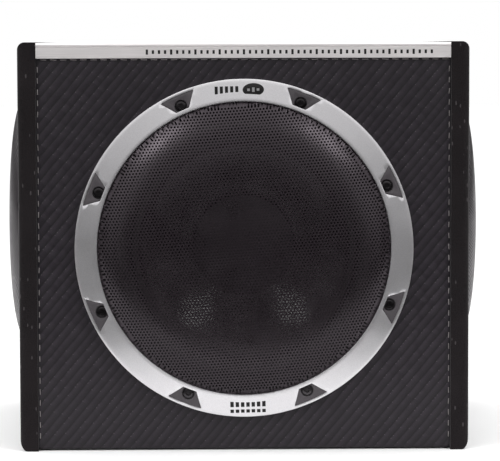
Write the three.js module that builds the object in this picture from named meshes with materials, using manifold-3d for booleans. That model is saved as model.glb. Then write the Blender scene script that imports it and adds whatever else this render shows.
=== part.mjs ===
// Powered car subwoofer. A sealed box holds one driven 30 cm cone in its front, a passive
// radiator in each side board, and an amplifier in its back.
// Millimetres, +Z up, front towards -Y. The origin is on the ground, under the middle of the box.
import * as THREE from 'three';
import { mergeVertices } from 'three/addons/utils/BufferGeometryUtils.js';
import Module from 'manifold-3d';

const wasm = await Module();
wasm.setup();

// Driving dimensions: the box
const WIDTH = 441; // over both side boards
const HEIGHT = 401;
const DEPTH = 360; // of the side boards
const BOARD = 18;
const GAP = 0.3; // between pieces that touch
const PANEL_INSET = 4; // front and back faces behind the side boards' edges
const PANEL_FOOT = 1.5; // box above the side boards' lower edge
const VINYL = 1.2;
const CHEEK_TOP_RADIUS = 8;
const CHEEK_BOTTOM_RADIUS = 12;

// Driving dimensions: the three round openings. Heights are above the panel that holds them.
const CUTOUT_R = 141.5;
const SCREW_CIRCLE_R = 152;
const SCREW_COUNT = 8;
const SCREW_R = 2.5;
const HEAD_R = 5;
const RECESS_R = 6.3;
const RING_OUTER_R = 165.5;
const RING_INNER_R = 143.5;
const RING_TOP = 9.9;
const FRAME_BOTTOM = 4.6;
const FRAME_TOP = 6.1;
const GRILLE_HEIGHT = 26; // crown of the dome
const SIDE_RECESS = 9; // the side rings sit in a recess of this depth
const RECESS_EDGE_R = 166.5;
const GRILLE_R = 143.2;
const GRILLE_SHEET = 1.2;
const FRONT_CENTRE_Z = 199.5;
const SIDE_CENTRE_Z = 218;
const RING_TWIST = 1.2; // degrees

// Driving dimensions: the amplifier in the back
const AMP_WIDTH = 250;
const AMP_HEIGHT = 220;
const AMP_OPENING_MARGIN = 7;
const AMP_PLATE = 3;
const FIN_TOP = 26;
const AMP_CENTRE_Z = 200;

const ROUND = 24; // sides of the large circles
const SMALL_ROUND = 16; // sides of the motor's circles
const TINY_ROUND = 8; // sides of holes and screws

const HALF_INSIDE = WIDTH / 2 - BOARD; // inner face of a side board
const PANEL_Y = DEPTH / 2 - PANEL_INSET; // front face at -PANEL_Y, back face at +PANEL_Y

// Finishes
const finish = (color, roughness, metalness) => ({ color, roughness, metalness });
const VINYL_BLACK = finish(0x322f33, 0.5, 0);
const FLOCK_BLACK = finish(0x242122, 0.95, 0);
const FIBREBOARD = finish(0x8a6f4f, 0.9, 0);
const ALUMINIUM = finish(0xbeb7b6, 0.35, 0.9);
const SILVER = finish(0xb4b0b0, 0.35, 0.6);
const BLACK_STEEL = finish(0x1a1a1b, 0.4, 0.7);
const DARK_PLASTIC = finish(0x444044, 0.5, 0);
const BLACK_RUBBER = finish(0x1c1b1b, 0.8, 0);
const CONE_BLACK = finish(0x141415, 0.25, 0);
const BARE_STEEL = finish(0x8b8d90, 0.35, 0.9);
const FERRITE = finish(0x2b2b2d, 0.8, 0.1);
const COPPER = finish(0xb06a3a, 0.35, 0.9);
const CLOTH = finish(0xb59a4a, 0.9, 0);
const BOARD_GREEN = finish(0x1f4a2c, 0.5, 0);
const FUSE_BLUE = finish(0x2f6fb5, 0.3, 0);

// ---- Solids ----

function volume(geometry) {
  const position = geometry.attributes.position;
  const [a, b, c] = [new THREE.Vector3(), new THREE.Vector3(), new THREE.Vector3()];
  let sum = 0;
  for (let i = 0; i < geometry.index.count; i += 3) {
    a.fromBufferAttribute(position, geometry.index.getX(i));
    b.fromBufferAttribute(position, geometry.index.getX(i + 1));
    c.fromBufferAttribute(position, geometry.index.getX(i + 2));
    sum += a.dot(b.cross(c)) / 6;
  }
  return sum;
}

// Merges shared vertices, drops collapsed triangles and turns the faces outwards.
function welded(geometry) {
  const bare = geometry.clone();
  bare.deleteAttribute('normal');
  bare.deleteAttribute('uv');
  const merged = mergeVertices(bare, 1e-4);
  const index = merged.index.array;
  const kept = [];
  for (let i = 0; i < index.length; i += 3) {
    const [a, b, c] = [index[i], index[i + 1], index[i + 2]];
    if (a !== b && b !== c && c !== a) kept.push(a, b, c);
  }
  merged.setIndex(kept);
  if (volume(merged) < 0) merged.setIndex(kept.reverse());
  return merged;
}

function manifoldOf(geometry) {
  const mesh = welded(geometry);
  return new wasm.Manifold(new wasm.Mesh({
    numProp: 3,
    vertProperties: new Float32Array(mesh.attributes.position.array),
    triVerts: new Uint32Array(mesh.index.array),
  }));
}

function geometryOf(manifold) {
  const mesh = manifold.getMesh();
  const geometry = new THREE.BufferGeometry();
  geometry.setAttribute('position', new THREE.BufferAttribute(mesh.vertProperties, 3));
  geometry.setIndex(new THREE.BufferAttribute(mesh.triVerts, 1));
  return geometry;
}

function cut(piece, tools) {
  return geometryOf(tools.reduce((rest, tool) => rest.subtract(manifoldOf(tool)), manifoldOf(piece)));
}

function joined(pieces) {
  return geometryOf(pieces.map(manifoldOf).reduce((whole, piece) => whole.add(piece)));
}

// A closed profile of [radius, height] points turned about Z.
function turned(profile, sides) {
  const points = profile.map(([r, z]) => new THREE.Vector2(r, z));
  return welded(new THREE.LatheGeometry(points, sides).rotateX(Math.PI / 2));
}

function disc(radius, bottom, top, sides) {
  return turned([[0, bottom], [radius, bottom], [radius, top], [0, top]], sides);
}

function washer(inner, outer, bottom, top, sides) {
  return turned([[inner, bottom], [outer, bottom], [outer, top], [inner, top], [inner, bottom]], sides);
}

// A block between two corners.
function block([x0, y0, z0], [x1, y1, z1]) {
  const box = new THREE.BoxGeometry(x1 - x0, y1 - y0, z1 - z0);
  return box.translate((x0 + x1) / 2, (y0 + y1) / 2, (z0 + z1) / 2);
}

function extruded(shape, bottom, top, curveSegments = 4) {
  const settings = { depth: top - bottom, bevelEnabled: false, curveSegments };
  return new THREE.ExtrudeGeometry(shape, settings).translate(0, 0, bottom);
}

function polygon(points) {
  return new THREE.Shape(points.map(([x, y]) => new THREE.Vector2(x, y)));
}

// Calls make(angle in radians) for each screw position of a ring.
function atScrews(make) {
  return Array.from({ length: SCREW_COUNT }, (_, k) => make(((k + 0.5) / SCREW_COUNT) * 2 * Math.PI));
}

const hole = (radius, bottom, top, x, y) => disc(radius, bottom, top, TINY_ROUND).translate(x, y, 0);

function screwHoles(radius, bottom, top) {
  return atScrews((angle) => hole(
    radius, bottom, top, SCREW_CIRCLE_R * Math.cos(angle), SCREW_CIRCLE_R * Math.sin(angle),
  ));
}

function add(parent, name, geometry, look) {
  const mesh = new THREE.Mesh(geometry, new THREE.MeshStandardMaterial(look));
  mesh.name = name;
  parent.add(mesh);
  return mesh;
}

const root = new THREE.Group();

// ---- Round openings: a frame whose Z axis points out of the panel that holds it ----

function outward(x, y, z, turn) {
  const frame = new THREE.Group();
  frame.position.set(x, y, z);
  frame.rotation.set(...turn);
  root.add(frame);
  return frame;
}

const QUARTER = Math.PI / 2;
const TWIST = THREE.MathUtils.degToRad(RING_TWIST);
const front = new THREE.Group();
front.rotation.z = TWIST;
outward(0, -PANEL_Y, FRONT_CENTRE_Z, [QUARTER, 0, 0]).add(front);
const sides = {
  left: outward(SIDE_RECESS - WIDTH / 2, 0, SIDE_CENTRE_Z, [0, -QUARTER, 0]),
  right: outward(WIDTH / 2 - SIDE_RECESS, 0, SIDE_CENTRE_Z, [0, QUARTER, 0]),
};

// One dark tab of the grille frame: wider at its outer end.
function tab(angle, grow, bottom, top) {
  const [inner, outer] = [145 - grow, 161.7 + grow];
  const [halfInner, halfOuter] = [8.6 + grow, 17 + grow];
  const outline = polygon([[inner, -halfInner], [outer, -halfOuter], [outer, halfOuter], [inner, halfInner]]);
  return extruded(outline, bottom, top).rotateZ(angle);
}

// Silver ring with a window for each tab, a skirt down to the panel and a bevelled outer edge.
function trimRing() {
  const bevel = 1.6;
  const plateBottom = FRAME_TOP + GAP;
  const skirtInner = 163;
  const profile = [
    [RING_INNER_R, plateBottom], [skirtInner, plateBottom], [skirtInner, GAP], [RING_OUTER_R, GAP],
    [RING_OUTER_R, RING_TOP - bevel], [RING_OUTER_R - bevel, RING_TOP], [RING_INNER_R, RING_TOP],
    [RING_INNER_R, plateBottom],
  ];
  return cut(turned(profile, ROUND), atScrews((angle) => tab(angle, GAP, FRAME_BOTTOM, RING_TOP + 1)));
}

// Dark frame under the ring. Its tabs fill the ring's windows, and the screws pass through them.
function grilleFrame(drilled) {
  const plate = washer(CUTOUT_R - 2, 161.9, FRAME_BOTTOM, FRAME_TOP, ROUND);
  const tabs = atScrews((angle) => tab(angle, 0, FRAME_BOTTOM + 0.2, RING_TOP - GAP));
  const frame = joined([plate, ...tabs]);
  if (!drilled) return frame;
  return cut(frame, [
    ...screwHoles(RECESS_R, FRAME_TOP, RING_TOP + 1),
    ...screwHoles(SCREW_R + GAP, 0, RING_TOP + 1),
  ]);
}

// A dome with a flat crown and a steep shoulder.
function grille() {
  const rimTop = FRAME_TOP + GAP + GRILLE_SHEET;
  const height = (radius) => rimTop + (GRILLE_HEIGHT - rimTop) * (1 - (radius / GRILLE_R) ** 6);
  const radii = [0, 90, 116, 132, 141];
  const outer = radii.map((r) => [r, height(r)]);
  const inner = radii.map((r) => [r, height(r) - GRILLE_SHEET]).reverse();
  const rim = [[GRILLE_R, FRAME_TOP + GAP + GRILLE_SHEET], [GRILLE_R, FRAME_TOP + GAP]];
  return turned([...outer, ...rim, ...inner], ROUND);
}

// Half-round surround between the frame's landing and the moving edge.
const LANDING_Z = -10;
const SURROUND_SHEET = 0.9;
function surround() {
  const bottom = LANDING_Z + GAP;
  const [centre, outerRadius] = [119, 9];
  const arc = (radius, angles) => angles.map((degrees) => {
    const angle = THREE.MathUtils.degToRad(degrees);
    return [centre + radius * Math.cos(angle), bottom + SURROUND_SHEET / 2 + radius * Math.sin(angle)];
  });
  const over = arc(outerRadius, [150, 90, 30]);
  const under = arc(outerRadius - SURROUND_SHEET, [30, 90, 150]);
  const top = bottom + SURROUND_SHEET;
  return turned([
    [104, bottom], [104, top], [centre - outerRadius, top], ...over, [centre + outerRadius, top],
    [138, top], [138, bottom], [centre + outerRadius - SURROUND_SHEET, bottom], ...under,
    [centre - outerRadius + SURROUND_SHEET, bottom], [104, bottom],
  ], ROUND);
}

// ---- Box ----

// Side board: outer edges rounded along the top and bottom, with the radiator's opening and the
// ring's recess.
function cheek(side) {
  const [inner, outer] = [HALF_INSIDE, WIDTH / 2];
  const outline = new THREE.Shape();
  outline.moveTo(inner, 0);
  outline.lineTo(outer - CHEEK_BOTTOM_RADIUS, 0);
  outline.absarc(outer - CHEEK_BOTTOM_RADIUS, CHEEK_BOTTOM_RADIUS, CHEEK_BOTTOM_RADIUS, -QUARTER, 0, false);
  outline.absarc(outer - CHEEK_TOP_RADIUS, HEIGHT - CHEEK_TOP_RADIUS, CHEEK_TOP_RADIUS, 0, QUARTER, false);
  outline.lineTo(inner, HEIGHT);
  const board = extruded(outline, -DEPTH / 2, DEPTH / 2, 6).rotateX(QUARTER);
  const bore = (radius, bottom, top) => (
    disc(radius, bottom, top, ROUND).rotateY(QUARTER).translate(outer - SIDE_RECESS, 0, SIDE_CENTRE_Z)
  );
  const right = cut(board, [bore(CUTOUT_R, -BOARD, BOARD), bore(RECESS_EDGE_R, 0, BOARD)]);
  return side === 'right' ? right : welded(right.scale(-1, 1, 1));
}

const throughFront = (tool) => (
  tool.rotateZ(TWIST).rotateX(QUARTER).translate(0, -PANEL_Y, FRONT_CENTRE_Z)
);
const frontOpening = throughFront(disc(CUTOUT_R, -60, 60, ROUND));
const frontScrewHoles = screwHoles(SCREW_R + GAP, -60, 60).map(throughFront);
const ampOpening = block(
  [-AMP_WIDTH / 2 + AMP_OPENING_MARGIN, PANEL_Y - 60, AMP_CENTRE_Z - AMP_HEIGHT / 2 + AMP_OPENING_MARGIN],
  [AMP_WIDTH / 2 - AMP_OPENING_MARGIN, PANEL_Y + 60, AMP_CENTRE_Z + AMP_HEIGHT / 2 - AMP_OPENING_MARGIN],
);

const WRAP_TOP = HEIGHT - 2.5;
const wrapHalf = HALF_INSIDE - GAP;

// Vinyl around the front, top, back and bottom boards, folded over small corner radii.
function vinylWrap() {
  const fold = 2.5;
  const outline = new THREE.Shape();
  const [y, bottom, top] = [PANEL_Y, PANEL_FOOT, WRAP_TOP];
  outline.moveTo(-y + fold, bottom);
  outline.absarc(y - fold, bottom + fold, fold, -QUARTER, 0, false);
  outline.absarc(y - fold, top - fold, fold, 0, QUARTER, false);
  outline.absarc(-y + fold, top - fold, fold, QUARTER, 2 * QUARTER, false);
  outline.absarc(-y + fold, bottom + fold, fold, 2 * QUARTER, 3 * QUARTER, false);
  outline.holes.push(new THREE.Path([
    new THREE.Vector2(-y + VINYL, bottom + VINYL), new THREE.Vector2(-y + VINYL, top - VINYL),
    new THREE.Vector2(y - VINYL, top - VINYL), new THREE.Vector2(y - VINYL, bottom + VINYL),
  ]));
  const sleeve = extruded(outline, -wrapHalf, wrapHalf, 3).rotateY(QUARTER).rotateX(QUARTER);
  return cut(sleeve, [frontOpening, ...frontScrewHoles, ampOpening]);
}

const boardHalf = HALF_INSIDE - GAP;
const boardY = PANEL_Y - VINYL - GAP; // outer face of the front and back boards
const boardTop = WRAP_TOP - VINYL - GAP;
const boardBottom = PANEL_FOOT + VINYL + GAP;
const insideY = boardY - BOARD - GAP;

add(root, 'left_cheek', cheek('left'), FLOCK_BLACK);
add(root, 'right_cheek', cheek('right'), FLOCK_BLACK);
add(root, 'vinyl_wrap', vinylWrap(), VINYL_BLACK);
add(root, 'front_baffle', cut(
  block([-boardHalf, -boardY, boardBottom], [boardHalf, -boardY + BOARD, boardTop]),
  [frontOpening, ...frontScrewHoles],
), FIBREBOARD);
add(root, 'back_panel', cut(
  block([-boardHalf, boardY - BOARD, boardBottom], [boardHalf, boardY, boardTop]), [ampOpening],
), FIBREBOARD);
add(root, 'top_panel', block([-boardHalf, -insideY, boardTop - BOARD], [boardHalf, insideY, boardTop]),
  FIBREBOARD);
add(root, 'bottom_panel', block(
  [-boardHalf, -insideY, boardBottom], [boardHalf, insideY, boardBottom + BOARD],
), FIBREBOARD);
const braceOpening = disc(110, -30, 30, ROUND).rotateX(QUARTER).translate(0, 8, AMP_CENTRE_Z);
add(root, 'window_brace', cut(
  block([-145, 0, boardBottom + BOARD + GAP], [145, 15, boardTop - BOARD - GAP]), [braceOpening],
), FIBREBOARD);

// Aluminium angle over the box's top front edge.
const TRIM_FACE_HEIGHT = 15;
const trimTop = HEIGHT - 0.8;
const trimFront = -PANEL_Y - GAP - 3.2;
const trimOutline = new THREE.Shape();
trimOutline.moveTo(trimFront, trimTop - TRIM_FACE_HEIGHT);
trimOutline.lineTo(-PANEL_Y - GAP, trimTop - TRIM_FACE_HEIGHT);
trimOutline.lineTo(-PANEL_Y - GAP, WRAP_TOP + GAP);
trimOutline.lineTo(-PANEL_Y + 20, WRAP_TOP + GAP);
trimOutline.lineTo(-PANEL_Y + 20, trimTop);
trimOutline.absarc(trimFront + 2, trimTop - 2, 2, QUARTER, 2 * QUARTER, false);
add(root, 'top_trim', extruded(trimOutline, -wrapHalf, wrapHalf, 4).rotateY(QUARTER).rotateX(QUARTER),
  ALUMINIUM);

// ---- Driver ----

add(front, 'front_ring', trimRing(), SILVER);
add(front, 'front_grille_frame', grilleFrame(true), DARK_PLASTIC);
add(front, 'front_grille', grille(), BLACK_STEEL);

// Socket-head screw: the head stands on the frame's plate, and the shank reaches into the baffle.
function ringScrew() {
  const headBottom = FRAME_TOP + GAP;
  const headTop = headBottom + 2.9;
  const socketR = 2.2;
  return turned([
    [0, -15], [SCREW_R, -15], [SCREW_R, headBottom], [HEAD_R, headBottom], [HEAD_R, headTop],
    [socketR, headTop], [socketR, headTop - 2], [0, headTop - 2],
  ], TINY_ROUND);
}
atScrews((angle) => angle).forEach((angle, k) => {
  add(front, `ring_screw_${k + 1}`, ringScrew(), BLACK_STEEL)
    .position.set(SCREW_CIRCLE_R * Math.cos(angle), SCREW_CIRCLE_R * Math.sin(angle), 0);
});

const FLANGE_OUTER_R = 158;
const FLANGE_TOP = FRAME_BOTTOM - GAP;
const GASKET_TOP = 1.5;
add(front, 'driver_gasket', washer(143, 149, GAP, GASKET_TOP, ROUND), BLACK_RUBBER);

// Pressed basket: flange, landing for the surround, sloping wall with four windows, spider shelf
// and the floor that the motor hangs from.
const SPIDER_SHELF_Z = -72;
const BASKET_FLOOR_Z = -88;
function driverBasket() {
  const sheet = 2;
  const wallInner = 138.5;
  const bowl = turned([
    [FLANGE_OUTER_R, GASKET_TOP + GAP], [FLANGE_OUTER_R, FLANGE_TOP], [wallInner, FLANGE_TOP],
    [wallInner, LANDING_Z], [128, LANDING_Z], [92, SPIDER_SHELF_Z], [78, SPIDER_SHELF_Z],
    [78, SPIDER_SHELF_Z - sheet], [90.5, SPIDER_SHELF_Z - sheet], [88, BASKET_FLOOR_Z],
    [45, BASKET_FLOOR_Z], [45, BASKET_FLOOR_Z - sheet], [90, BASKET_FLOOR_Z - sheet],
    [94, SPIDER_SHELF_Z - sheet], [130, LANDING_Z - sheet], [wallInner + sheet, LANDING_Z - sheet],
    [wallInner + sheet, GASKET_TOP + GAP], [FLANGE_OUTER_R, GASKET_TOP + GAP],
  ], ROUND);
  const windows = Array.from({ length: 4 }, (_, k) => (
    block([60, -48, SPIDER_SHELF_Z + 8], [150, 48, LANDING_Z - 8]).rotateZ((k + 0.5) * QUARTER)
  ));
  return cut(bowl, [...windows, ...screwHoles(SCREW_R + GAP, 0, 6)]);
}
add(front, 'driver_basket', driverBasket(), BLACK_STEEL);

// Motor, from the basket's floor inwards. The coil hangs in the gap between plate and pole.
const plateTop = BASKET_FLOOR_Z - 2 - GAP;
const magnetTop = plateTop - 8 - GAP;
const yokeTop = magnetTop - 22 - GAP;
const COIL_R = 34;
const POLE_R = 31;
add(front, 'top_plate', washer(COIL_R + 1, 75, plateTop - 8, plateTop, SMALL_ROUND), BARE_STEEL);
add(front, 'ring_magnet', washer(42, 80, magnetTop - 22, magnetTop, SMALL_ROUND), FERRITE);
add(front, 'yoke', turned([
  [12, yokeTop - 8], [70, yokeTop - 8], [70, yokeTop], [POLE_R, yokeTop], [POLE_R, plateTop],
  [12, plateTop], [12, yokeTop - 8],
], SMALL_ROUND), BARE_STEEL);
add(front, 'terminal_block', block([-12, 95.5, -89], [12, 104.5, -75]), DARK_PLASTIC);

// Moving assembly
const CONE_EDGE_R = 109.5;
const CONE_NECK_R = 33.3;
add(front, 'cone', turned([
  [CONE_EDGE_R, LANDING_Z], [103, LANDING_Z], [CONE_NECK_R, -56], [CONE_NECK_R, -57.4],
  [102.5, LANDING_Z - 1.4], [CONE_EDGE_R, LANDING_Z - 1.4], [CONE_EDGE_R, LANDING_Z],
], ROUND), CONE_BLACK);
const capRadii = [0, 26, 50];
const capHeight = (radius) => -43.4 + 14 * (1 - (radius / 50) ** 2);
add(front, 'dust_cap', turned([
  ...capRadii.map((r) => [r, capHeight(r)]), ...capRadii.map((r) => [r, capHeight(r) - 1]).reverse(),
], ROUND), CONE_BLACK);
add(front, 'voice_coil', turned([
  [32, -106], [COIL_R, -106], [COIL_R, -86], [32.7, -86], [32.7, -57], [32, -57], [32, -106],
], SMALL_ROUND), COPPER);
add(front, 'front_surround', surround(), BLACK_RUBBER);
const spiderTop = [[33.4, -70.6], [42, -68.6], [54, -71.6], [66, -68.6], [76, -70.8], [84, -70.8]];
add(front, 'spider', turned([
  ...spiderTop, ...spiderTop.map(([r, z]) => [r, z - 0.9]).reverse(), spiderTop[0],
], SMALL_ROUND), CLOTH);

// ---- Passive radiators ----

function radiatorBasket() {
  return turned([
    [FLANGE_OUTER_R, GAP], [FLANGE_OUTER_R, FLANGE_TOP], [138.5, FLANGE_TOP], [138.5, LANDING_Z],
    [128, LANDING_Z], [128, LANDING_Z - 2], [140.5, LANDING_Z - 2], [140.5, GAP], [FLANGE_OUTER_R, GAP],
  ], ROUND);
}

const DIAPHRAGM_FLOOR_Z = -28;
function radiatorDiaphragm() {
  const sheet = 1.6;
  return turned([
    [0, DIAPHRAGM_FLOOR_Z], [44, DIAPHRAGM_FLOOR_Z], [103, LANDING_Z], [CONE_EDGE_R, LANDING_Z],
    [CONE_EDGE_R, LANDING_Z - sheet], [102.5, LANDING_Z - sheet],
    [43.5, DIAPHRAGM_FLOOR_Z - sheet], [0, DIAPHRAGM_FLOOR_Z - sheet],
  ], ROUND);
}

const weightTop = DIAPHRAGM_FLOOR_Z - 1.6 - GAP;
for (const [side, frame] of Object.entries(sides)) {
  add(frame, `${side}_ring`, trimRing(), SILVER);
  add(frame, `${side}_grille_frame`, grilleFrame(false), DARK_PLASTIC);
  add(frame, `${side}_grille`, grille(), BLACK_STEEL);
  add(frame, `${side}_basket`, radiatorBasket(), BLACK_STEEL);
  add(frame, `${side}_surround`, surround(), BLACK_RUBBER);
  add(frame, `${side}_diaphragm`, radiatorDiaphragm(), CONE_BLACK);
  add(frame, `${side}_weight`, disc(30, weightTop - 10, weightTop, SMALL_ROUND), BARE_STEEL);
}

// ---- Amplifier: X to the right seen from behind, Y up, Z out of the back ----

const back = new THREE.Group();
back.position.set(0, PANEL_Y, AMP_CENTRE_Z);
back.rotation.z = Math.PI;
const amp = new THREE.Group();
amp.rotation.x = QUARTER;
back.add(amp);
root.add(back);

const plateInner = GAP;
const plateOuter = GAP + AMP_PLATE;
const BOARD_Z = -19.6; // inner face of the circuit board
const boardOuter = BOARD_Z + 1.6;
const KNOB_ROW_Y = -42;
const SOCKET_ROW_Y = -82;
const knobs = { gain_knob: -95, crossover_knob: -55, boost_knob: -15 };
const SWITCH_X = 30;
const FUSE_X = [80, 100];
const INPUT_X = -82;
const REMOTE_X = -32;
const POWER_X = 25;

// Back plate with cooling fins above, openings for the controls below, and four posts for the board.
function ampPlate() {
  const plate = block(
    [-AMP_WIDTH / 2, -AMP_HEIGHT / 2, plateInner], [AMP_WIDTH / 2, AMP_HEIGHT / 2, plateOuter],
  );
  const finPitch = 18;
  const finHalf = 1.3;
  const fins = Array.from({ length: 13 }, (_, k) => {
    const x = (k - 6) * finPitch;
    return block([x - finHalf, -10, plateOuter - 1], [x + finHalf, AMP_HEIGHT / 2 - 8, FIN_TOP]);
  });
  const posts = [[-108, -94], [108, -94], [-108, 94], [108, 94]].map(([x, y]) => (
    block([x - 4, y - 4, boardOuter + GAP], [x + 4, y + 4, plateInner + 1])
  ));
  const openings = [
    ...Object.values(knobs).map((x) => hole(3.6, -5, 10, x, KNOB_ROW_Y)),
    block([SWITCH_X - 5, KNOB_ROW_Y - 3, -5], [SWITCH_X + 5, KNOB_ROW_Y + 3, 10]),
    block([INPUT_X - 17, SOCKET_ROW_Y - 7, -5], [INPUT_X + 17, SOCKET_ROW_Y + 7, 10]),
    block([REMOTE_X - 9, SOCKET_ROW_Y - 8, -5], [REMOTE_X + 9, SOCKET_ROW_Y + 8, 10]),
    block([POWER_X - 33, SOCKET_ROW_Y - 9, -5], [POWER_X + 33, SOCKET_ROW_Y + 9, 10]),
    ...FUSE_X.map((x) => block([x - 1.5, SOCKET_ROW_Y - 9, -5], [x + 1.5, SOCKET_ROW_Y + 9, 10])),
  ];
  return cut(joined([plate, ...fins, ...posts]), openings);
}
add(amp, 'amp_plate', ampPlate(), BLACK_STEEL);
add(amp, 'circuit_board', block([-113, -99, BOARD_Z], [113, 99, boardOuter]), BOARD_GREEN);
add(amp, 'transformer', washer(12, 38, BOARD_Z - GAP - 34, BOARD_Z - GAP, SMALL_ROUND).translate(-55, 40, 0),
  COPPER);
[30, 62].forEach((x, k) => {
  add(amp, `capacitor_${k + 1}`, disc(12.5, BOARD_Z - GAP - 45, BOARD_Z - GAP, 12).translate(x, 50, 0),
    DARK_PLASTIC);
});

// Knob with its shaft, which ends at the circuit board. A flat groove marks its position.
function knob() {
  const [capBottom, capTop, capR, shaftR] = [plateOuter + 0.6, 16, 7.5, 3];
  const turnedKnob = turned([
    [0, boardOuter + GAP], [shaftR, boardOuter + GAP], [shaftR, capBottom], [capR, capBottom],
    [capR - 0.6, capTop], [0, capTop],
  ], 16);
  return cut(turnedKnob, [block([-0.8, 1.5, capTop - 1.2], [0.8, 9, capTop + 1])]);
}
for (const [name, x] of Object.entries(knobs)) {
  add(amp, name, knob(), DARK_PLASTIC).position.set(x, KNOB_ROW_Y, 0);
}

const switchX = SWITCH_X - 2; // resting at its left stop, with 4 mm of travel
add(amp, 'phase_switch', joined([
  block([switchX - 2.2, KNOB_ROW_Y - 2.2, -5], [switchX + 2.2, KNOB_ROW_Y + 2.2, 8]),
  block([switchX - 5, KNOB_ROW_Y - 4, -7], [switchX + 5, KNOB_ROW_Y + 4, -4.5]),
]), DARK_PLASTIC);

// Two line sockets on one base.
function inputSockets() {
  const base = block(
    [INPUT_X - 16.5, SOCKET_ROW_Y - 6.5, boardOuter + GAP], [INPUT_X + 16.5, SOCKET_ROW_Y + 6.5, 5],
  );
  const centres = [INPUT_X - 8.5, INPUT_X + 8.5];
  const barrels = centres.map((x) => hole(4.8, 4, 14, x, SOCKET_ROW_Y));
  return cut(joined([base, ...barrels]), centres.map((x) => hole(3.4, 2, 20, x, SOCKET_ROW_Y)));
}
add(amp, 'input_sockets', inputSockets(), BARE_STEEL);

add(amp, 'remote_socket', cut(
  block([REMOTE_X - 8.5, SOCKET_ROW_Y - 7.5, boardOuter + GAP], [REMOTE_X + 8.5, SOCKET_ROW_Y + 7.5, 5]),
  [block([REMOTE_X - 6, SOCKET_ROW_Y - 4.5, -6], [REMOTE_X + 6, SOCKET_ROW_Y + 4.5, 10])],
), DARK_PLASTIC);

// Four screw terminals, each with a square entry for a bared wire.
const terminalXs = [-1.5, -0.5, 0.5, 1.5].map((step) => POWER_X + step * 15);
add(amp, 'power_terminals', cut(
  block([POWER_X - 32, SOCKET_ROW_Y - 8.5, boardOuter + GAP], [POWER_X + 32, SOCKET_ROW_Y + 8.5, 15]),
  terminalXs.map((x) => block([x - 4, SOCKET_ROW_Y - 5.5, 2], [x + 4, SOCKET_ROW_Y + 5.5, 20])),
), DARK_PLASTIC);

// Plug-in fuses: a grip outside the plate and two blades through its slot.
FUSE_X.forEach((x, k) => {
  const blade = (y) => block([x - 0.4, y - 2.6, -14], [x + 0.4, y + 2.6, plateOuter + 1]);
  add(amp, `fuse_${k + 1}`, joined([
    block([x - 2.3, SOCKET_ROW_Y - 9.5, plateOuter + GAP], [x + 2.3, SOCKET_ROW_Y + 9.5, 13]),
    blade(SOCKET_ROW_Y - 5.2), blade(SOCKET_ROW_Y + 5.2),
  ]), FUSE_BLUE);
});

// Speaker lead from the circuit board, through the brace's window, to the driver's terminals.
const leadRoute = new THREE.CatmullRomCurve3([
  [0, -86.4, 299.5], [0, -74, 299.5], [2, -40, 293], [6, 7, 282], [12, 60, 275], [18, 110, 271],
  [20, 145, 270], [20, 156.1, 270],
].map((point) => new THREE.Vector3(...point)));
const leadSection = new THREE.Shape();
leadSection.absarc(0, 0, 2.5, 0, 2 * Math.PI, false);
add(root, 'speaker_lead', new THREE.ExtrudeGeometry(leadSection, {
  steps: 18, curveSegments: 3, bevelEnabled: false, extrudePath: leadRoute,
}), BLACK_RUBBER);

export default root;
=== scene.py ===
"""Powered car subwoofer: its visible pieces and their finishes. Metres, +Z up, front towards -Y."""
import math
import random
from collections import Counter
from contextlib import contextmanager

import bpy
from mathutils import Matrix, Vector
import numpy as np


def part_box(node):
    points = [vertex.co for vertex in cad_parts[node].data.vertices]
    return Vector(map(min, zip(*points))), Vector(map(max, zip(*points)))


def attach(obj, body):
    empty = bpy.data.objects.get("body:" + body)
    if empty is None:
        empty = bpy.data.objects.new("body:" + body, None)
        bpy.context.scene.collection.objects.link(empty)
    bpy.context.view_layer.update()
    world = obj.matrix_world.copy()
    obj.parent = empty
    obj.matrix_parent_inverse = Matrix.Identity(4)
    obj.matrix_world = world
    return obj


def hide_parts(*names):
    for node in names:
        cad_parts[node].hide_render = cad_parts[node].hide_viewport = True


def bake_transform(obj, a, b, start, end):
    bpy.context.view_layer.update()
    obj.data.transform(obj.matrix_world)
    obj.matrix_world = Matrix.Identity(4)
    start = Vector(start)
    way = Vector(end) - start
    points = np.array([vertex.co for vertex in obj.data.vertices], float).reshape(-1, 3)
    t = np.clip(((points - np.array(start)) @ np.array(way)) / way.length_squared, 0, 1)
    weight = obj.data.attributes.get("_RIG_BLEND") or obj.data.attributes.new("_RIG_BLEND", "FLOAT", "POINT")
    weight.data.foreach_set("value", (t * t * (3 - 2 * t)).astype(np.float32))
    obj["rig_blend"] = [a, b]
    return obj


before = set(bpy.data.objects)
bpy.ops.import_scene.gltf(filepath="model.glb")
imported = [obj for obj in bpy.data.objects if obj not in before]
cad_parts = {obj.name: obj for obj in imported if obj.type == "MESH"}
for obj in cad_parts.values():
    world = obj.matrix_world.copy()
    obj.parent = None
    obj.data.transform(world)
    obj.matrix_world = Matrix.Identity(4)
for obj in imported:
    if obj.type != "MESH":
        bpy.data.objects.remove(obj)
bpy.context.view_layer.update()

MM = 0.001

# ---- Places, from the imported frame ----

wrap_low, wrap_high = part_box("vinyl_wrap")
right_low, right_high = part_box("right_cheek")
trim_low, trim_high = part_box("top_trim")
front_ring_low, front_ring_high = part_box("front_ring")
side_ring_low, side_ring_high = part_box("right_ring")
plate_low, plate_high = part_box("amp_plate")

PANEL_FRONT = wrap_low[1]
PANEL_BACK = wrap_high[1]
HALF_WIDTH = right_high[0]
HALF_INSIDE = right_low[0]
HALF_DEPTH = right_high[1]
HEIGHT = right_high[2]
FRONT_CENTRE_Z = (front_ring_low[2] + front_ring_high[2]) / 2
SIDE_CENTRE_Z = (side_ring_low[2] + side_ring_high[2]) / 2
AMP_CENTRE_Z = (plate_low[2] + plate_high[2]) / 2
QUARTER = math.pi / 2

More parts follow.
